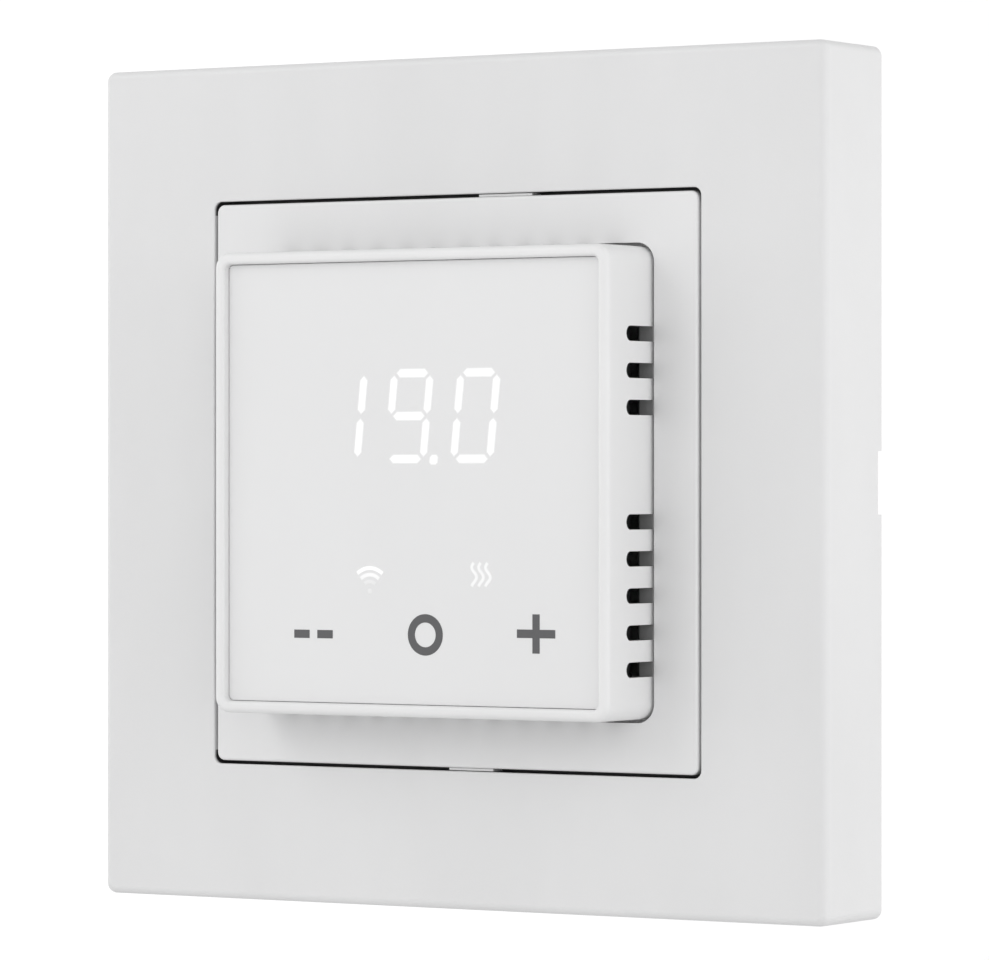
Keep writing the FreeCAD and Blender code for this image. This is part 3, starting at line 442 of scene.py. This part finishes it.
# ------------------------------------------------------------------- mesh helpers
SHARPEST = 0.6                 # limits how far an outset moves a sharp corner


def finish_mesh(name, builder, material, body):
    """Turn a bmesh in millimetres into a piece that rides on a body."""
    bmesh.ops.recalc_face_normals(builder, faces=builder.faces)
    bmesh.ops.scale(builder, vec=(MM, MM, MM), verts=builder.verts)
    mesh = bpy.data.meshes.new(name)
    builder.to_mesh(mesh)
    builder.free()
    piece = bpy.data.objects.new(name, mesh)
    bpy.context.scene.collection.objects.link(piece)
    mesh.materials.append(material)
    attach(piece, body)
    return piece


def join_loops(builder, near, far):
    """Side faces between two closed rows of the same number of points."""
    count = len(near)
    for i in range(count):
        j = (i + 1) % count
        builder.faces.new((near[i], near[j], far[j], far[i]))


def close_ends(builder, near, far):
    """One flat face over each of two end rows, to be cut into triangles later."""
    caps = [builder.faces.new(near), builder.faces.new(far)]
    for face in caps:
        face.normal_update()
    return caps


def triangulate(builder, faces):
    """Cut flat faces of any outline into triangles."""
    bmesh.ops.triangulate(builder, faces=faces, ngon_method="EAR_CLIP")


def polygon(builder, outline, front, back):
    """A flat plate with any closed outline in X and Z, between two planes across Y."""
    loops = [[builder.verts.new((x, y, z)) for x, z in outline] for y in (front, back)]
    caps = close_ends(builder, *loops)
    join_loops(builder, *loops)
    triangulate(builder, caps)


def ring(builder, centre, outer, inner, front, back):
    """A flat ring between two circles in X and Z and two planes across Y."""
    circles = [circle(centre, radius) for radius in (outer, inner)]
    rows = [[builder.verts.new((x, y, z)) for x, z in points] for points in circles for y in (front, back)]
    outer_front, outer_back, inner_front, inner_back = rows
    join_loops(builder, outer_front, inner_front)
    join_loops(builder, outer_back, inner_back)
    join_loops(builder, outer_front, outer_back)
    join_loops(builder, inner_front, inner_back)


def ribbon(line, width):
    """Outline of a strip of one width along a line of points."""
    left, right = [], []
    for i, point in enumerate(line):
        before, after = Vector(line[max(i - 1, 0)]), Vector(line[min(i + 1, len(line) - 1)])
        along = (after - before).normalized()
        side = Vector((-along.y, along.x)) * width / 2
        left.append(tuple(Vector(point) + side))
        right.append(tuple(Vector(point) - side))
    return left + right[::-1]


def outset(outline, distance):
    """The outline moved outwards all round by a distance, with sharp corners kept short."""
    count = len(outline)
    points = [Vector(point) for point in outline]
    area = sum(points[i - 1].x * points[i].y - points[i].x * points[i - 1].y for i in range(count))
    outwards = 1 if area > 0 else -1
    moved = []
    for i in range(count):
        before = (points[i] - points[i - 1]).normalized()
        after = (points[(i + 1) % count] - points[i]).normalized()
        middle = (before + after).normalized()
        side = Vector((middle.y, -middle.x)) * outwards
        share = max(side.dot(Vector((before.y, -before.x)) * outwards), SHARPEST)
        moved.append(tuple(points[i] + side * distance / share))
    return moved


def lit_tile(builder, outline, level, edge):
    """A thin plate lit from behind: its face has the glow level, which fades over a soft edge."""
    glow = builder.verts.layers.float.get("glow") or builder.verts.layers.float.new("glow")
    wide = outset(outline, edge)
    layers = [(outline, MARK_FRONT), (wide, GLOW_FRONT), (wide, MARK_BACK)]
    face, rim, back = [[builder.verts.new((x, y, z)) for x, z in points] for points, y in layers]
    for vertex in face:
        vertex[glow] = level
    join_loops(builder, face, rim)
    join_loops(builder, rim, back)
    triangulate(builder, close_ends(builder, face, back))


def circle(centre, radius, start=0.0, turn=360.0, steps=64):
    """Points round a circle in X and Z, by degrees from +X towards +Z."""
    count = steps if turn == 360.0 else steps + 1
    angles = [math.radians(start + turn * i / steps) for i in range(count)]
    return [(centre[0] + radius * math.cos(a), centre[1] + radius * math.sin(a)) for a in angles]


def rectangle(x, z):
    """Corners of a rectangle between a pair of X values and a pair of Z values."""
    return [(x[0], z[0]), (x[1], z[0]), (x[1], z[1]), (x[0], z[1])]


# ---------------------------------------------------------------- lit markings
PANEL_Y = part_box("front_panel")[0].y / MM
MARK_FRONT = PANEL_Y - 0.02
MARK_BACK = PANEL_Y + 0.10
GLOW_FRONT = PANEL_Y - 0.004   # edge of a lit tile's slope

DIGIT_PITCH = 7.52
DIGIT_X = -0.30                # middle of the second digit's cell
DIGIT_Z = 6.37
DIGIT_SIZE = (4.05, 8.2, 0.58, 0.80)   # width and height between strokes, stroke, gap at the joints
DIGIT_SLANT = 0.10
DIGIT_LEVEL = 0.28             # glow of its face
DIGIT_EDGE = 0.2               # width of the soft edge round it
SEGMENTS = {
    "0": "abcdef", "1": "bc", "2": "abged", "3": "abgcd", "4": "fgbc", "5": "afgcd",
    "6": "afgedc", "7": "abc", "8": "abcdefg", "9": "abcdfg",
}

POINT_AT = (2.52, 2.20)
POINT_HALF = 0.34
POINT_LEAN = 0.05
POINT_CUT = 0.6                # where a cut corner starts, as a share of the half width

ICON_EDGE = 0.1
RADIO_AT = (-4.75, -10.40)
RADIO_ARCS = ((2.22, 0.28), (1.58, 0.20), (0.92, 0.07))   # radius and glow of each arc
RADIO_SPAN = (51, 78)          # degrees from +X where an arc starts, and how far it runs
RADIO_STROKE = 0.26
RADIO_DOT, RADIO_DOT_LEVEL = 0.2, 0.06

HEAT_X = (7.08, 7.85, 8.62)
HEAT_Z, HEAT_HEIGHT = -9.78, 2.15
HEAT_SWAY = 0.27
HEAT_TURN, HEAT_LAG = 7.2, 1.2   # radians that a wave turns over its height, and by which its foot lags
HEAT_STROKE = 0.2
HEAT_LEVEL = 0.18
HEAT_STEPS = 24


def segment_outline(letter, width, height, stroke, gap):
    """Six-sided outline of one stroke of a seven-segment digit, round the digit's middle."""
    half = stroke / 2
    flat = {"a": height / 2, "g": 0.0, "d": -height / 2}
    if letter in flat:
        reach = width / 2 - gap / 2
        shape = [(-reach, 0), (half - reach, half), (reach - half, half), (reach, 0), (reach - half, -half),
                 (half - reach, -half)]
        return [(x, z + flat[letter]) for x, z in shape]
    x0 = width / 2 if letter in "bc" else -width / 2
    middle = height / 4 if letter in "bf" else -height / 4
    reach = height / 4 - gap / 2
    shape = [(0, -reach), (half, half - reach), (half, reach - half), (0, reach), (-half, reach - half),
             (-half, half - reach)]
    return [(x + x0, z + middle) for x, z in shape]


def digit_outlines(character, centre, size, slant=0.0, mirror=1):
    """Outlines of one seven-segment digit; size is (width, height, stroke, gap)."""
    placed = []
    for letter in SEGMENTS[character]:
        outline = segment_outline(letter, *size)
        placed.append([(centre[0] + mirror * (x + slant * z), centre[1] + z) for x, z in outline])
    return placed


def display_digits(material):
    """The temperature's three digits, each its own piece."""
    for index, character in enumerate("190"):
        builder = bmesh.new()
        centre = (DIGIT_X + (index - 1) * DIGIT_PITCH, DIGIT_Z)
        for outline in digit_outlines(character, centre, DIGIT_SIZE, DIGIT_SLANT):
            lit_tile(builder, outline, DIGIT_LEVEL, DIGIT_EDGE)
        finish_mesh("lit_digit_%d" % (index + 1), builder, material, "cover")


def display_point(material):
    """The point between the digits: a small square with cut corners."""
    cut = POINT_CUT
    corners = ((-1, -cut), (-cut, -1), (cut, -1), (1, -cut), (1, cut), (cut, 1), (-cut, 1), (-1, cut))
    outline = []
    for x, z in corners:
        outline.append((POINT_AT[0] + x * POINT_HALF + POINT_LEAN * z, POINT_AT[1] + z * POINT_HALF))
    builder = bmesh.new()
    lit_tile(builder, outline, DIGIT_LEVEL, DIGIT_EDGE)
    finish_mesh("lit_point", builder, material, "cover")


def radio_icon(material):
    """Three arcs above a dot, the usual sign for a radio link, brighter towards the top."""
    builder = bmesh.new()
    for radius, level in RADIO_ARCS:
        arc = circle(RADIO_AT, radius, *RADIO_SPAN, steps=20)
        lit_tile(builder, ribbon(arc, RADIO_STROKE), level, ICON_EDGE)
    lit_tile(builder, circle(RADIO_AT, RADIO_DOT, steps=20), RADIO_DOT_LEVEL, ICON_EDGE)
    finish_mesh("lit_radio_icon", builder, material, "cover")


def heat_icon(material):
    """Three rising waves, the usual sign for heating."""
    builder = bmesh.new()
    for x in HEAT_X:
        line = []
        for i in range(HEAT_STEPS + 1):
            share = i / HEAT_STEPS
            sway = HEAT_SWAY * math.sin(HEAT_TURN * share - HEAT_LAG)
            line.append((x + sway, HEAT_Z + HEAT_HEIGHT * share))
        lit_tile(builder, ribbon(line, HEAT_STROKE), HEAT_LEVEL, ICON_EDGE)
    finish_mesh("lit_heat_icon", builder, material, "cover")


# ---------------------------------------------------------------- key markings
KEY_STROKE = 0.80
KEY_Z = -14.6                  # middle of the row of keys
DASH_STARTS = (-13.50, -10.82)
DASH_LENGTH = 1.79
MODE_AT = (1.57, KEY_Z + 0.1)
MODE_RADIUS = 1.98
CROSS_AT = (13.97, KEY_Z + 0.37)
CROSS_REACH = (2.12, 1.85)     # from its middle to its ends, along X and Z


def lower_mark(ink):
    """Two dashes on the key that lowers the temperature."""
    builder = bmesh.new()
    heights = (KEY_Z - KEY_STROKE / 2, KEY_Z + KEY_STROKE / 2)
    for start in DASH_STARTS:
        polygon(builder, rectangle((start, start + DASH_LENGTH), heights), MARK_FRONT, MARK_BACK)
    finish_mesh("mark_lower", builder, ink, "cover")


def mode_mark(ink):
    """A plain ring on the middle key."""
    builder = bmesh.new()
    ring(builder, MODE_AT, MODE_RADIUS, MODE_RADIUS - KEY_STROKE, MARK_FRONT, MARK_BACK)
    finish_mesh("mark_mode", builder, ink, "cover")


def raise_mark(ink):
    """A cross on the key that raises the temperature."""
    half = KEY_STROKE / 2
    wide, tall = CROSS_REACH
    arm = [(half, tall), (half, half), (wide, half)]
    outline = []
    for sign_x, sign_z in ((1, 1), (1, -1), (-1, -1), (-1, 1)):
        corner = arm if sign_x == sign_z else arm[::-1]
        outline += [(CROSS_AT[0] + sign_x * along, CROSS_AT[1] + sign_z * up) for along, up in corner]
    builder = bmesh.new()
    polygon(builder, outline, MARK_FRONT, MARK_BACK)
    finish_mesh("mark_raise", builder, ink, "cover")


# ---------------------------------------------------------------- touch springs
SPRING_RADIUS = 2.6            # outside
SPRING_WIRE = 0.2              # radius of the wire
SPRING_TURNS = 6.5


def coil(builder, centre, ends):
    """A wire wound round an axis along Y, with its first and last half turn lying flat."""
    around, steps = 8, 28
    length = ends[1] - ends[0] - 2 * SPRING_WIRE
    total = int(SPRING_TURNS * steps)
    rows = []
    for i in range(total + 1):
        angle = 2 * math.pi * i / steps
        share = min(max((i - steps / 2) / (total - steps), 0.0), 1.0)
        y = ends[0] + SPRING_WIRE + length * share
        out = Vector((math.cos(angle), 0.0, math.sin(angle)))
        middle = Vector((centre[0], y, centre[1])) + out * (SPRING_RADIUS - SPRING_WIRE)
        row = []
        for k in range(around):
            turn = 2 * math.pi * k / around
            side = out * math.cos(turn) + Vector((0, 1, 0)) * math.sin(turn)
            row.append(builder.verts.new(middle + side * SPRING_WIRE))
        rows.append(row)
    for near, far in zip(rows, rows[1:]):
        join_loops(builder, near, far)
    builder.faces.new(rows[0])
    builder.faces.new(rows[-1])


def touch_springs(material):
    """Three springs in place of the frame's plain tubes, from the board to the panel."""
    low, high = (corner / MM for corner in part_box("key_springs"))
    left, right = low.x + SPRING_RADIUS, high.x - SPRING_RADIUS
    z = (low.z + high.z) / 2
    builder = bmesh.new()
    for x in (left, (left + right) / 2, right):
        coil(builder, (x, z), (low.y, high.y))
    piece = finish_mesh("touch_springs", builder, material, "cover")
    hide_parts("key_springs")


# ------------------------------------------------------- parts on the display board
BOARD_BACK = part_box("display_board")[1].y / MM

LEADS_PER_SIDE = 12
LEAD_PITCH = 0.5
LEAD_WIDTH = 0.22
LEAD_HALF = 0.06               # half the thickness of a lead
LEAD_RISE = 0.4                # height at which it leaves the chip
LEAD_RUNS = (-0.05, 0.22, 0.38, 0.8)   # distances out: inside the chip, upper bend, lower bend, end

PART_CAP, PART_HALF_WIDTH, PART_HEIGHT = 0.2, 0.28, 0.26   # of a small part, as shares of its length
PART_BEVEL = 0.04
PART_GROW = 0.02               # how far the metal caps stand proud of the body

CRYSTAL_X, CRYSTAL_Z = (14.2, 17.4), (-7.6, -2.6)
CRYSTAL_HEIGHT, CRYSTAL_BEVEL = 0.8, 0.25

MODULE_HEIGHT = 0.8            # the radio module's own board
TRACK_LEFT, TRACK_RIGHT, TRACK_Z = -4.9, -1.0, -3.6   # the antenna's sides and its lower end
TRACK_RISE, TRACK_FOLDS = 1.3, 9
TRACK_HALF_WIDTH, TRACK_HEIGHT, TRACK_BEVEL = 0.22, 0.05, 0.015


def block(builder, x, y, z, bevel):
    """A block with bevelled edges between pairs of planes."""
    verts = bmesh.ops.create_cube(builder, size=1.0)["verts"]
    for vertex in verts:
        where = [pair[0] if part < 0 else pair[1] for part, pair in zip(vertex.co, (x, y, z))]
        vertex.co = where
    edges = list(dict.fromkeys(edge for vertex in verts for edge in vertex.link_edges))
    bmesh.ops.bevel(builder, geom=edges, offset=bevel, segments=2, profile=0.5, affect="EDGES")


def chip_lead(builder, root, out):
    """Flat lead from the side of a chip, bent down to the board; out is its direction in X and Z."""
    line = list(zip(LEAD_RUNS, (LEAD_RISE, LEAD_RISE, LEAD_HALF, LEAD_HALF)))
    profile = [(u, h + LEAD_HALF) for u, h in line] + [(u, h - LEAD_HALF) for u, h in line[::-1]]
    side = (-out[1], out[0])
    loops = []
    for shift in (-LEAD_WIDTH / 2, LEAD_WIDTH / 2):
        x, z = root[0] + shift * side[0], root[1] + shift * side[1]
        points = [(x + u * out[0], BOARD_BACK + h, z + u * out[1]) for u, h in profile]
        loops.append([builder.verts.new(point) for point in points])
    caps = close_ends(builder, *loops)
    join_loops(builder, *loops)
    triangulate(builder, caps)


def chip_leads(material):
    """Twelve leads on each side of the control chip."""
    low, high = (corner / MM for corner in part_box("control_chip"))
    builder = bmesh.new()
    for i in range(LEADS_PER_SIDE):
        shift = (i - (LEADS_PER_SIDE - 1) / 2) * LEAD_PITCH
        x, z = (low.x + high.x) / 2 + shift, (low.z + high.z) / 2 + shift
        sides = (((low.x, z), (-1, 0)), ((high.x, z), (1, 0)), ((x, low.z), (0, -1)), ((x, high.z), (0, 1)))
        for root, out in sides:
            chip_lead(builder, root, out)
    finish_mesh("control_chip_leads", builder, material, "cover")


def small_part_places():
    """Middle, direction and length of each small part on the board's back."""
    places = [(4.0 + 2.0 * i, -3.6, "Z", 2.0) for i in range(6)]
    places += [(15.2, -1.0 + 2.0 * i, "X", 2.0) for i in range(6)]
    places += [(5.2 + 2.2 * i, 10.2, "Z", 1.6) for i in range(4)]
    places += [(x + shift, -13.4, "Z", 1.6) for x in (-11.4, 1.4, 13.8) for shift in (-1.2, 1.2)]
    places += [(-9.5 - 1.6 * i, -8.6, "Z", 1.6) for i in range(4)]
    return places


def small_parts(dark, metal):
    """Chip resistors and capacitors: dark bodies with a tinned cap at each end."""
    bodies, ends = bmesh.new(), bmesh.new()
    for x, z, along, length in small_part_places():
        half, cap = length / 2, length * PART_CAP
        wide, height = length * PART_HALF_WIDTH, length * PART_HEIGHT
        pieces = (
            (bodies, cap - half, half - cap, 0.0),
            (ends, -half, cap - half, PART_GROW),
            (ends, half - cap, half, PART_GROW),
        )
        for builder, near, far, grow in pieces:
            spans = [(near, far), (-wide - grow, wide + grow)]
            if along == "Z":
                spans.reverse()
            x_pair = (x + spans[0][0], x + spans[0][1])
            z_pair = (z + spans[1][0], z + spans[1][1])
            block(builder, x_pair, (BOARD_BACK, BOARD_BACK + height + grow), z_pair, PART_BEVEL)
    finish_mesh("small_part_bodies", bodies, dark, "cover")
    finish_mesh("small_part_ends", ends, metal, "cover")


def crystal(metal):
    """Low metal can of the chip's clock crystal."""
    builder = bmesh.new()
    block(builder, CRYSTAL_X, (BOARD_BACK, BOARD_BACK + CRYSTAL_HEIGHT), CRYSTAL_Z, CRYSTAL_BEVEL)
    finish_mesh("clock_crystal", builder, metal, "cover")


def antenna(metal):
    """Meandering copper track of the radio module's antenna, beside its can."""
    line = [(TRACK_LEFT, TRACK_Z)]
    for i in range(TRACK_FOLDS):
        end = TRACK_RIGHT if i % 2 == 0 else TRACK_LEFT
        line.append((end, TRACK_Z + i * TRACK_RISE))
        line.append((end, TRACK_Z + (i + 1) * TRACK_RISE))
    board_y = BOARD_BACK + MODULE_HEIGHT
    half = TRACK_HALF_WIDTH
    builder = bmesh.new()
    for (x0, z0), (x1, z1) in zip(line, line[1:]):
        x_pair = (min(x0, x1) - half, max(x0, x1) + half)
        z_pair = (min(z0, z1) - half, max(z0, z1) + half)
        block(builder, x_pair, (board_y, board_y + TRACK_HEIGHT), z_pair, TRACK_BEVEL)
    finish_mesh("antenna_track", builder, metal, "cover")


# ------------------------------------------------------------ prints on the housing
LABEL_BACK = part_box("rating_label")[1].y / MM
HOUSING_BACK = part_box("rear_housing")[1].y / MM
PRINT_Y = (-0.05, 0.02)        # planes of a printed layer, from the surface under it

TERMINAL_X = [12.5 - 5.0 * index for index in range(6)]   # terminal 1 to 6
NUMBER_Z = -10.6
NUMBER_SIZE = (1.1, 2.2, 0.26, 0.08)
NUMBER_RECESS = 0.4            # depth of the strip that the numbers are printed on

BORDER_X = 14.6                # middle of the border's strips, from the label's middle
BORDER_Z = (-4.6, 15.6)
BORDER_HALF = 0.16             # half the border's width
TEXT_LINE_X, TEXT_LINE_STEP = 12.6, 4.0   # reach of the first blank line, and what each next one loses
TEXT_LINE_Z, TEXT_LINE_PITCH = 13.2, 1.5
LINE_HALF = 0.11               # half the width of a drawn line
LINE_GAP = 0.02                # keeps the end of one line clear of the next
PLAN_Z = -2.6
PLAN_RADIUS, PLAN_BORE = 0.8, 0.55
WIRE_FOOT = PLAN_Z + PLAN_RADIUS
SHORT_WIRE, LOAD_TOP, SENSOR_TOP = 1.0, 4.6, 2.6   # where the drawn wires end
WIRE_TOPS = (SHORT_WIRE, LOAD_TOP, LOAD_TOP, SHORT_WIRE, SENSOR_TOP, SENSOR_TOP)
LOAD_X, LOAD_Z = (3.4, 6.6), (5.0, 6.4)
SENSOR_AT, SENSOR_RADIUS = (-10.0, 4.0), 0.8


def terminal_numbers(ink):
    """The numbers 1 to 6, right way round from behind, above the terminals they name."""
    builder = bmesh.new()
    strip_y = HOUSING_BACK - NUMBER_RECESS
    for index, x in enumerate(TERMINAL_X):
        for outline in digit_outlines(str(index + 1), (x, NUMBER_Z), NUMBER_SIZE, mirror=-1):
            polygon(builder, outline, strip_y + PRINT_Y[0], strip_y + PRINT_Y[1])
    finish_mesh("terminal_numbers", builder, ink, "base")


def label_border(builder, y):
    """A frame of four strips round the label."""
    low, high = BORDER_Z
    for z in BORDER_Z:
        polygon(builder, rectangle((-BORDER_X, BORDER_X), (z - BORDER_HALF, z + BORDER_HALF)), *y)
    for x in (-BORDER_X, BORDER_X):
        heights = (low + BORDER_HALF, high - BORDER_HALF)
        polygon(builder, rectangle((x - BORDER_HALF, x + BORDER_HALF), heights), *y)


def blank_lines(builder, y):
    """Three lines where a label would have text."""
    for i in range(3):
        z = TEXT_LINE_Z - TEXT_LINE_PITCH * i
        reach = (-TEXT_LINE_X, TEXT_LINE_X - TEXT_LINE_STEP * i)
        polygon(builder, rectangle(reach, (z - LINE_HALF, z + LINE_HALF)), *y)


def terminal_plan(builder, y):
    """A ring for each terminal, a wire up from it, and a load and a sensor between their two wires."""
    for x, top in zip(TERMINAL_X, WIRE_TOPS):
        ring(builder, (x, PLAN_Z), PLAN_RADIUS, PLAN_BORE, *y)
        polygon(builder, rectangle((x - LINE_HALF, x + LINE_HALF), (WIRE_FOOT, top)), *y)
    for first, z in ((1, LOAD_TOP), (4, SENSOR_TOP)):
        right, left = TERMINAL_X[first:first + 2]
        heights = (z + LINE_GAP, z + LINE_GAP + 2 * LINE_HALF)
        polygon(builder, rectangle((left - LINE_HALF, right + LINE_HALF), heights), *y)
    polygon(builder, rectangle(LOAD_X, LOAD_Z), *y)
    polygon(builder, circle(SENSOR_AT, SENSOR_RADIUS, steps=32), *y)


def label_drawing(ink):
    """Border, blank lines and a simple plan of the terminals, with no words."""
    y = (LABEL_BACK + PRINT_Y[0], LABEL_BACK + PRINT_Y[1])
    builder = bmesh.new()
    label_border(builder, y)
    blank_lines(builder, y)
    terminal_plan(builder, y)
    finish_mesh("label_drawing", builder, ink, "base")


# ------------------------------------------------------------------ camera and light
CAMERA_AZIMUTH = 32.05         # degrees from straight in front towards +X
CAMERA_DISTANCE = 550.85
CAMERA_HEIGHT = 0.52
CAMERA_TARGET = (-1.33, -0.84, 0.26)
CAMERA_LENS = 204.2
FLOOR_RADIUS = 14.0            # in metres
FLOOR_DROP = 1.45              # in metres, from a wall thermostat's middle to the floor

# world light from each side, by the direction that it comes from
ROOM_LEVELS = (("X", 1, 1.38), ("X", -1, 1.00), ("Y", 1, 0.62), ("Y", -1, 0.60))
# soft lamps round the object: name, place in metres, size in metres, power in watts
LAMPS = (
    ("upper_left", (-0.50, -0.62, 0.62), 0.45, 0.58),
    ("right", (0.95, -0.15, 0.10), 0.45, 0.52),
    ("left", (-0.90, -0.35, 0.05), 0.45, 0.60),
    ("front", (0.10, -0.90, 0.10), 0.45, 0.20),
    ("near", (-0.12, -0.32, 0.15), 0.15, 0.10),
)


def aim(thing, location, target):
    """Put a camera or lamp at a place and turn it to look at another, with Z up."""
    thing.location = location
    thing.rotation_mode = "QUATERNION"
    thing.rotation_quaternion = (Vector(target) - thing.location).to_track_quat("-Z", "Y")


def make_camera():
    """A long lens to the right of the object, level with its middle."""
    data = bpy.data.cameras.new("camera")
    camera = bpy.data.objects.new("camera", data)
    bpy.context.scene.collection.objects.link(camera)
    azimuth = math.radians(CAMERA_AZIMUTH)
    target = Vector(CAMERA_TARGET) * MM
    location = target + Vector((math.sin(azimuth), -math.cos(azimuth), 0.0)) * CAMERA_DISTANCE * MM
    location.z = CAMERA_HEIGHT * MM
    aim(camera, location, target)
    data.sensor_width = 36.0
    data.lens = CAMERA_LENS
    data.clip_start = 0.01
    data.clip_end = 100.0
    bpy.context.scene.camera = camera


def area_light(name, location, size, power):
    """A round soft lamp that faces the object."""
    data = bpy.data.lights.new(name, "AREA")
    data.shape = "DISK"
    data.size = size
    data.energy = power
    light = bpy.data.objects.new(name, data)
    bpy.context.scene.collection.objects.link(light)
    aim(light, location, (0, 0, 0))


def make_light():
    """A pale room that is brightest at the two sides, and soft lamps round the object."""
    world = bpy.data.worlds.new("studio")
    world.use_nodes = True
    tree = world.node_tree
    direction = add(tree, "ShaderNodeTexCoord", {}).outputs["Generated"]
    parts = add(tree, "ShaderNodeSeparateXYZ", {"Vector": direction}).outputs
    total = 0.0
    for letter, sign, level in ROOM_LEVELS:
        towards = calculate(tree, "MAXIMUM", calculate(tree, "MULTIPLY", parts[letter], sign * level), 0.0)
        total = calculate(tree, "ADD", towards, total)
    background = tree.nodes["Background"].inputs
    connect(tree, background["Strength"], total)
    background["Color"].default_value = (1.0, 1.0, 1.0, 1.0)
    bpy.context.scene.world = world
    bpy.context.scene.view_settings.view_transform = "Standard"
    for lamp in LAMPS:
        area_light(*lamp)


def make_floor():
    """Large pale floor at its real distance below a wall thermostat."""
    builder = bmesh.new()
    bmesh.ops.create_circle(builder, cap_ends=True, segments=96, radius=FLOOR_RADIUS)
    mesh = bpy.data.meshes.new("floor")
    builder.to_mesh(mesh)
    builder.free()
    floor = bpy.data.objects.new("floor", mesh)
    floor.location.z = -FLOOR_DROP
    mesh.materials.append(pale_floor())
    bpy.context.scene.collection.objects.link(floor)


# ------------------------------------------------------------------------- assembly
make_camera()
make_light()
make_floor()
finishes = dress_nodes()
lit = glowing("lit_segment", (0.785, 0.785, 0.788), (1.0, 1.0, 1.0))
ink = printed_ink("dark_grey_ink", (0.099, 0.099, 0.103))
display_digits(lit)
display_point(lit)
radio_icon(lit)
heat_icon(lit)
lower_mark(ink)
mode_mark(ink)
raise_mark(ink)
touch_springs(finishes["brass"])
chip_leads(finishes["tin_can"])
small_parts(finishes["black_plastic"], finishes["tin_can"])
crystal(finishes["tin_can"])
antenna(finishes["brass"])
terminal_numbers(ink)
label_drawing(ink)
